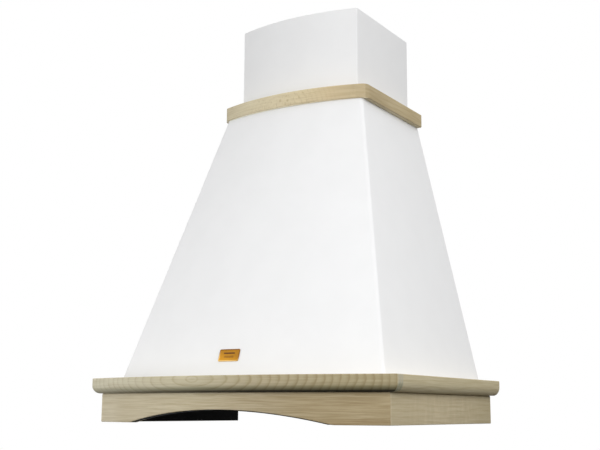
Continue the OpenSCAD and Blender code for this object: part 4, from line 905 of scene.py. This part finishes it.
def make_cover(name, node, body, outline, z0, z1, flange, rear, corner):
    """Bent sheet cover, open at the rear, with or without two flanges on the wall."""
    rows, arc_steps, fold_steps = 6, 40, 6
    w, t = outline[0], COVER_T
    outer = bowed_outline(*outline, 0.0, corner, arc_steps, fold_steps, rear)
    inner = bowed_outline(*outline, t, max(corner - t, 0.3), arc_steps, fold_steps, rear)
    if flange:
        inner = ([(w / 2 - flange, 0.0), (w / 2 - flange, -t), (w / 2 - t, -t)] + inner[1:-1]
                 + [(-w / 2 + t, -t), (-w / 2 + flange, -t), (-w / 2 + flange, 0.0)])
    plan = outer + inner[::-1]
    rings = [[at(x, y, z0 + (z1 - z0) * i / rows) for x, y in plan] for i in range(rows + 1)]
    verts, faces = loft(rings, caps=False)
    # End faces as strips between the outer and the inner outline, so that no large polygon is needed
    m, n_out, n_in = len(plan), len(outer), len(inner)
    extra = (n_in - n_out) // 2
    for base in (0, rows * m):
        back = base + m - 1
        for k in range(n_out - 1):
            faces.append((base + k, base + k + 1, back - k - 1 - extra, back - k - extra))
        if flange:
            faces.append(tuple([base] + [back - k for k in range(extra, -1, -1)]))
            faces.append(tuple([base + n_out - 1] + [back - k for k in range(n_in - 1 - extra, n_in)]))
    return finish_piece(name, verts, faces, mat_white, body, (node,), "white_steel")


make_canopy()
make_cover("chimney_lower_skin", "chimney_lower", "hood", CHIMNEY, TOP_Z, CHIMNEY_TOP,
           flange=COVER_FLANGE, rear=0.0, corner=2.0)
make_cover("chimney_upper_skin", "chimney_upper", "upper_cover",
           (CHIMNEY_W - 2 * UPPER_IN, CHIMNEY_REACH - UPPER_IN, CHIMNEY_R - UPPER_IN),
           TOP_Z + SEAT, CHIMNEY_TOP - UPPER_LOW, flange=0.0, rear=UPPER_IN, corner=1.6)

# Badge


def rounded_rect(w, h, corner, steps=5):
    """Outline of a rectangle with rounded corners round the origin."""
    out = []
    for quarter, (sx, sy) in enumerate(((1, 1), (-1, 1), (-1, -1), (1, -1))):
        for k in range(steps + 1):
            a = (quarter + k / steps) * math.pi / 2
            out.append((sx * (w / 2 - corner) + corner * math.cos(a),
                        sy * (h / 2 - corner) + corner * math.sin(a)))
    return out


def make_badge():
    """A bare gold plate: a bevelled rim round a sunk field with three plain raised bars."""
    lean = math.atan((FOOT[1] - TOP[1]) / (PLATE_Z - FOOT_Z))
    y0 = -FOOT[1] + BADGE_RISE * math.tan(lean) + fall(FOOT[2], BADGE_SHIFT)

    def place(u, v, n):
        """A point of the badge: u to the right, v up the canopy, n out from the badge's back."""
        n += SEAT
        return at(-BADGE_SHIFT + u, y0 + v * math.sin(lean) - n * math.cos(lean),
                  FOOT_Z + BADGE_RISE + v * math.cos(lean) + n * math.sin(lean))

    def plate(w, h, corner, levels):
        """A closed skin through outlines, each drawn in by inset, out at n and moved up by rise."""
        rings = []
        for inset, n, rise in levels:
            ring = rounded_rect(w - 2 * inset, h - 2 * inset, max(corner - inset, 0.3))
            rings.append([place(u, v + rise, n) for u, v in ring])
        return loft(rings)

    floor = BADGE_T - BADGE_SUNK
    body = plate(BADGE_W, BADGE_H, BADGE_CORNER,
                 [(0.0, 0.0, 0.0), (0.0, BADGE_T - 0.5, 0.0), (0.2, BADGE_T - 0.15, 0.0),
                  (0.5, BADGE_T, 0.0), (BADGE_RIM - 0.4, BADGE_T, 0.0), (BADGE_RIM, floor, 0.0)])
    bars = []
    for w, h, rise in BADGE_BARS:
        levels = [(0.0, floor - 0.1, rise), (0.0, floor + 0.15, rise), (0.12, floor + 0.25, rise)]
        bars.append(plate(w, h, BAR_CORNER, levels))
    count = len(rounded_rect(1.0, 1.0, 0.1))
    colors = [1] * (5 * count) + [1, 0]
    for bar in bars:
        colors += [2] * len(bar[1])
    return finish_piece("badge", *join([body] + bars), [mat_gold, mat_gold_rim, mat_gold_bar], "hood",
                        ("badge_plate",), face_mats=colors)


make_badge()

# Underside

MESH_X = (17.3, 210.7)
MESH_Y = (SKIRT_CORNER_Y + 100.6, -65.8)
MESH_Z = (46.3, 52.7)
# The expanded metal: length and width of a diamond, thickness and half width of a strand, and the
# height from the outer layer to the next
DIAMOND = (9.6, 4.8)
STRAND_T = 0.7
STRAND_HALF_W = 0.55
LAYER_STEP = 1.3
LAMP_X = 150.0
LAMP_Y = SKIRT_CORNER_Y + 50.0
RING_R = 30.0
RING_T = 2.5
SCREW_R = 2.0
SCREW_IN = 12.0


def strand_layer(x0, x1, z0, phase):
    """Expanded metal: zigzag strands that meet their neighbours at each bend."""
    y0, y1 = MESH_Y
    z1 = z0 + STRAND_T
    wide = STRAND_HALF_W
    columns = int((x1 - x0) / (DIAMOND[0] / 2))
    rows = int((y1 - y0 - 2 * wide) / DIAMOND[1])
    step_x = (x1 - x0) / columns
    step_y = (y1 - y0 - 2 * wide) / rows
    section = ((-wide, z0), (wide, z0), (wide, z1), (-wide, z1))
    parts = []
    for k in range(rows):
        rings = []
        for j in range(columns + 1):
            swing = step_y / 2 if (j + k + phase) % 2 else -step_y / 2
            y = y0 + wide + (k + 0.5) * step_y + swing
            x = x0 + j * step_x
            rings.append([at(x, y + dy, z) for dy, z in section])
        parts.append(loft(rings))
    return join(parts)


def wavy_core(x0, x1, z0, z1):
    """The corrugated foil behind the outer layers, one closed sheet."""
    y0, y1 = MESH_Y
    waves = 60
    steps = waves * 4
    sheet = 0.2
    top, low = [], []
    for k in range(steps + 1):
        y = y0 + (y1 - y0) * k / steps
        z = (z0 + z1) / 2 + ((z1 - z0) / 2 - sheet) * math.sin(2 * math.pi * waves * k / steps)
        top.append((y, z + sheet))
        low.append((y, z - sheet))
    section = top + low[::-1]
    return loft([[at(x, y, z) for y, z in section] for x in (x0, x1)], caps=False)


def make_filter_mesh(side, word):
    """Two layers of strands below, a wavy core and a layer above."""
    x0, x1 = MESH_X if side > 0 else (-MESH_X[1], -MESH_X[0])
    low, high = MESH_Z
    parts = [strand_layer(x0, x1, low, 0),
             strand_layer(x0, x1, low + LAYER_STEP, 1),
             wavy_core(x0, x1, low + 2.4, high - 1.0),
             strand_layer(x0, x1, high - STRAND_T, 0)]
    finish_piece("filter_lattice_" + word, *join(parts), mat_mesh, word + "_filter",
                 ("filter_mesh_" + word,), smooth_angle=40.0)


def lamp_pair(profile):
    """The profile turned round the axes of both lamps."""
    return join([lathe(profile, s * LAMP_X, LAMP_Y) for s in (-1, 1)])


def make_lamps():
    """Rounded rings and shallow ribbed lenses."""
    z = PAN_Z - RING_T
    ring = [(21.0, z + 0.35), (21.35, z), (27.6, z), (28.9, z + 0.3), (29.7, z + 0.95),
            (RING_R, z + 1.8), (RING_R, z + RING_T), (23.3, z + RING_T), (23.3, z + 0.8), (21.0, z + 0.8)]
    finish_piece("lamp_bezels", *lamp_pair(ring), mat_alu, "hood", ("lamp_rings",), smooth_angle=35.0)
    lens = []
    ribs = 19
    for k in range(ribs, -1, -1):
        r = 0.3 + 20.4 * k / ribs
        lens.append((r, z + 0.8 - 0.55 * (1 - (r / 21.0) ** 2) + (0.12 if k % 2 else 0.0)))
    lens = [(0.3, z + 2.8), (23.0, z + 2.8), (23.0, z + 0.85)] + lens
    finish_piece("lamp_glasses", *lamp_pair(lens), mat_lens, "hood", ("lamp_lenses",), smooth_angle=35.0)


def screw(x, y, z, shank):
    """A domed head under the sheet at height z, with a sunk cross, and its shank above."""
    head_r, head_h, arm, half = 3.8, 1.8, 1.9, 0.45
    steps = 24
    profile = [(SCREW_R, shank), (SCREW_R, 0.0), (head_r, 0.0), (head_r, -0.5), (head_r - 0.4, -1.15),
               (head_r - 1.2, -1.6), (2.35, -head_h)]
    turn = [2 * math.pi * k / steps for k in range(steps)]
    verts = [at(x + r * math.cos(a), y + r * math.sin(a), z + h) for r, h in profile for a in turn]
    faces = [tuple(range(steps))]
    for i in range(len(profile) - 1):
        for k in range(steps):
            a, b = i * steps + k, i * steps + (k + 1) % steps
            faces.append((a, b, b + steps, a + steps))
    cross = []
    for quarter in range(4):
        c, s = round(math.cos(quarter * math.pi / 2)), round(math.sin(quarter * math.pi / 2))
        for u, v in ((arm, -half), (arm, half), (half, half)):
            cross.append((u * c - v * s, u * s + v * c))
    points = len(cross)
    rim = (len(profile) - 1) * steps
    start = len(verts)
    for depth in (-head_h, -head_h + 0.9):
        verts += [at(x + u, y + v, z + depth) for u, v in cross]
    for k in range(points):
        a, b = start + k, start + (k + 1) % points
        ring = [rim + (2 * k - 1 + j) % steps for j in range(3)]
        faces.append((ring[0], ring[1], a))
        faces.append((ring[1], ring[2], b, a))
        faces.append((a, b, b + points, a + points))
    faces.append(tuple(start + points + k for k in range(points)))
    return verts, faces


def make_pan_screws():
    inset = 5.0
    x_side = HOOD_W / 2 - CORNICE_RAIL + inset
    y_front = -CORNICE_REACH + CORNICE_RAIL - inset
    places = [(s * x_side, y * SIDE_DEPTH) for s in (-1, 1) for y in (-0.25, -0.75)]
    places += [(s * HOOD_W / 8, y_front + fall(CORNICE_R, HOOD_W / 8)) for s in (-1, 1)]
    parts = [screw(x, y, PAN_Z, SHEET + SCREW_IN) for x, y in places]
    finish_piece("pan_screw_heads", *join(parts), mat_screw, "hood", ("pan_screws",), smooth_angle=25.0)


for side, word in ((-1, "left"), (1, "right")):
    make_filter_mesh(side, word)
make_lamps()
make_pan_screws()

# The CAD pieces that stay

BUTTONS = tuple("button_%d" % k for k in range(1, 6))
keep = {
    mat_white: ("canopy_top_plate", "rear_panel"),
    mat_lining: ("liner_front", "liner_left", "liner_right"),
    mat_black: ("underpan",),
    mat_zinc: ("blower_wrap", "blower_cheek_left", "blower_cheek_right", "motor", "motor_bracket",
               "chimney_bracket", "lamp_cans", "capacitor_clip"),
    mat_alu: ("filter_frame_left", "filter_frame_right"),
    mat_screw: ("motor_shaft", "impeller_nut", "motor_screws", "outlet_screws", "foot_screws",
                "flap_rod"),
    mat_grey_plastic: ("inlet_rings", "outlet_collar", "cable_gland"),
    mat_black_plastic: ("impeller", "flap_front", "flap_rear", "switch_housing", "switch_bezel",
                        "filter_latch_left", "filter_latch_right"),
    mat_pale_plastic: ("capacitor", "terminal_box") + BUTTONS,
    mat_rubber: ("motor_dampers",),
    mat_bulb: ("lamp_bulbs",),
}
# Width of the eased edges in mm, and the pieces that get them
eased = {
    0.3: ("foot_screws", "motor_screws", "outlet_screws", "impeller_nut"),
    0.4: ("filter_frame_left", "filter_frame_right", "switch_housing"),
    0.5: ("filter_latch_left", "filter_latch_right"),
    0.7: ("switch_bezel",),
    0.8: ("terminal_box",),
    0.9: BUTTONS,
    1.0: ("capacitor",),
}
for mat, names in keep.items():
    for name in names:
        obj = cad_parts[name]
        obj.data.materials.clear()
        obj.data.materials.append(mat)
for width, names in eased.items():
    for name in names:
        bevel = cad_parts[name].modifiers.new("eased", "BEVEL")
        bevel.width = width * MM
        bevel.segments = 2
        bevel.limit_method = "ANGLE"
        bevel.angle_limit = math.radians(40.0)
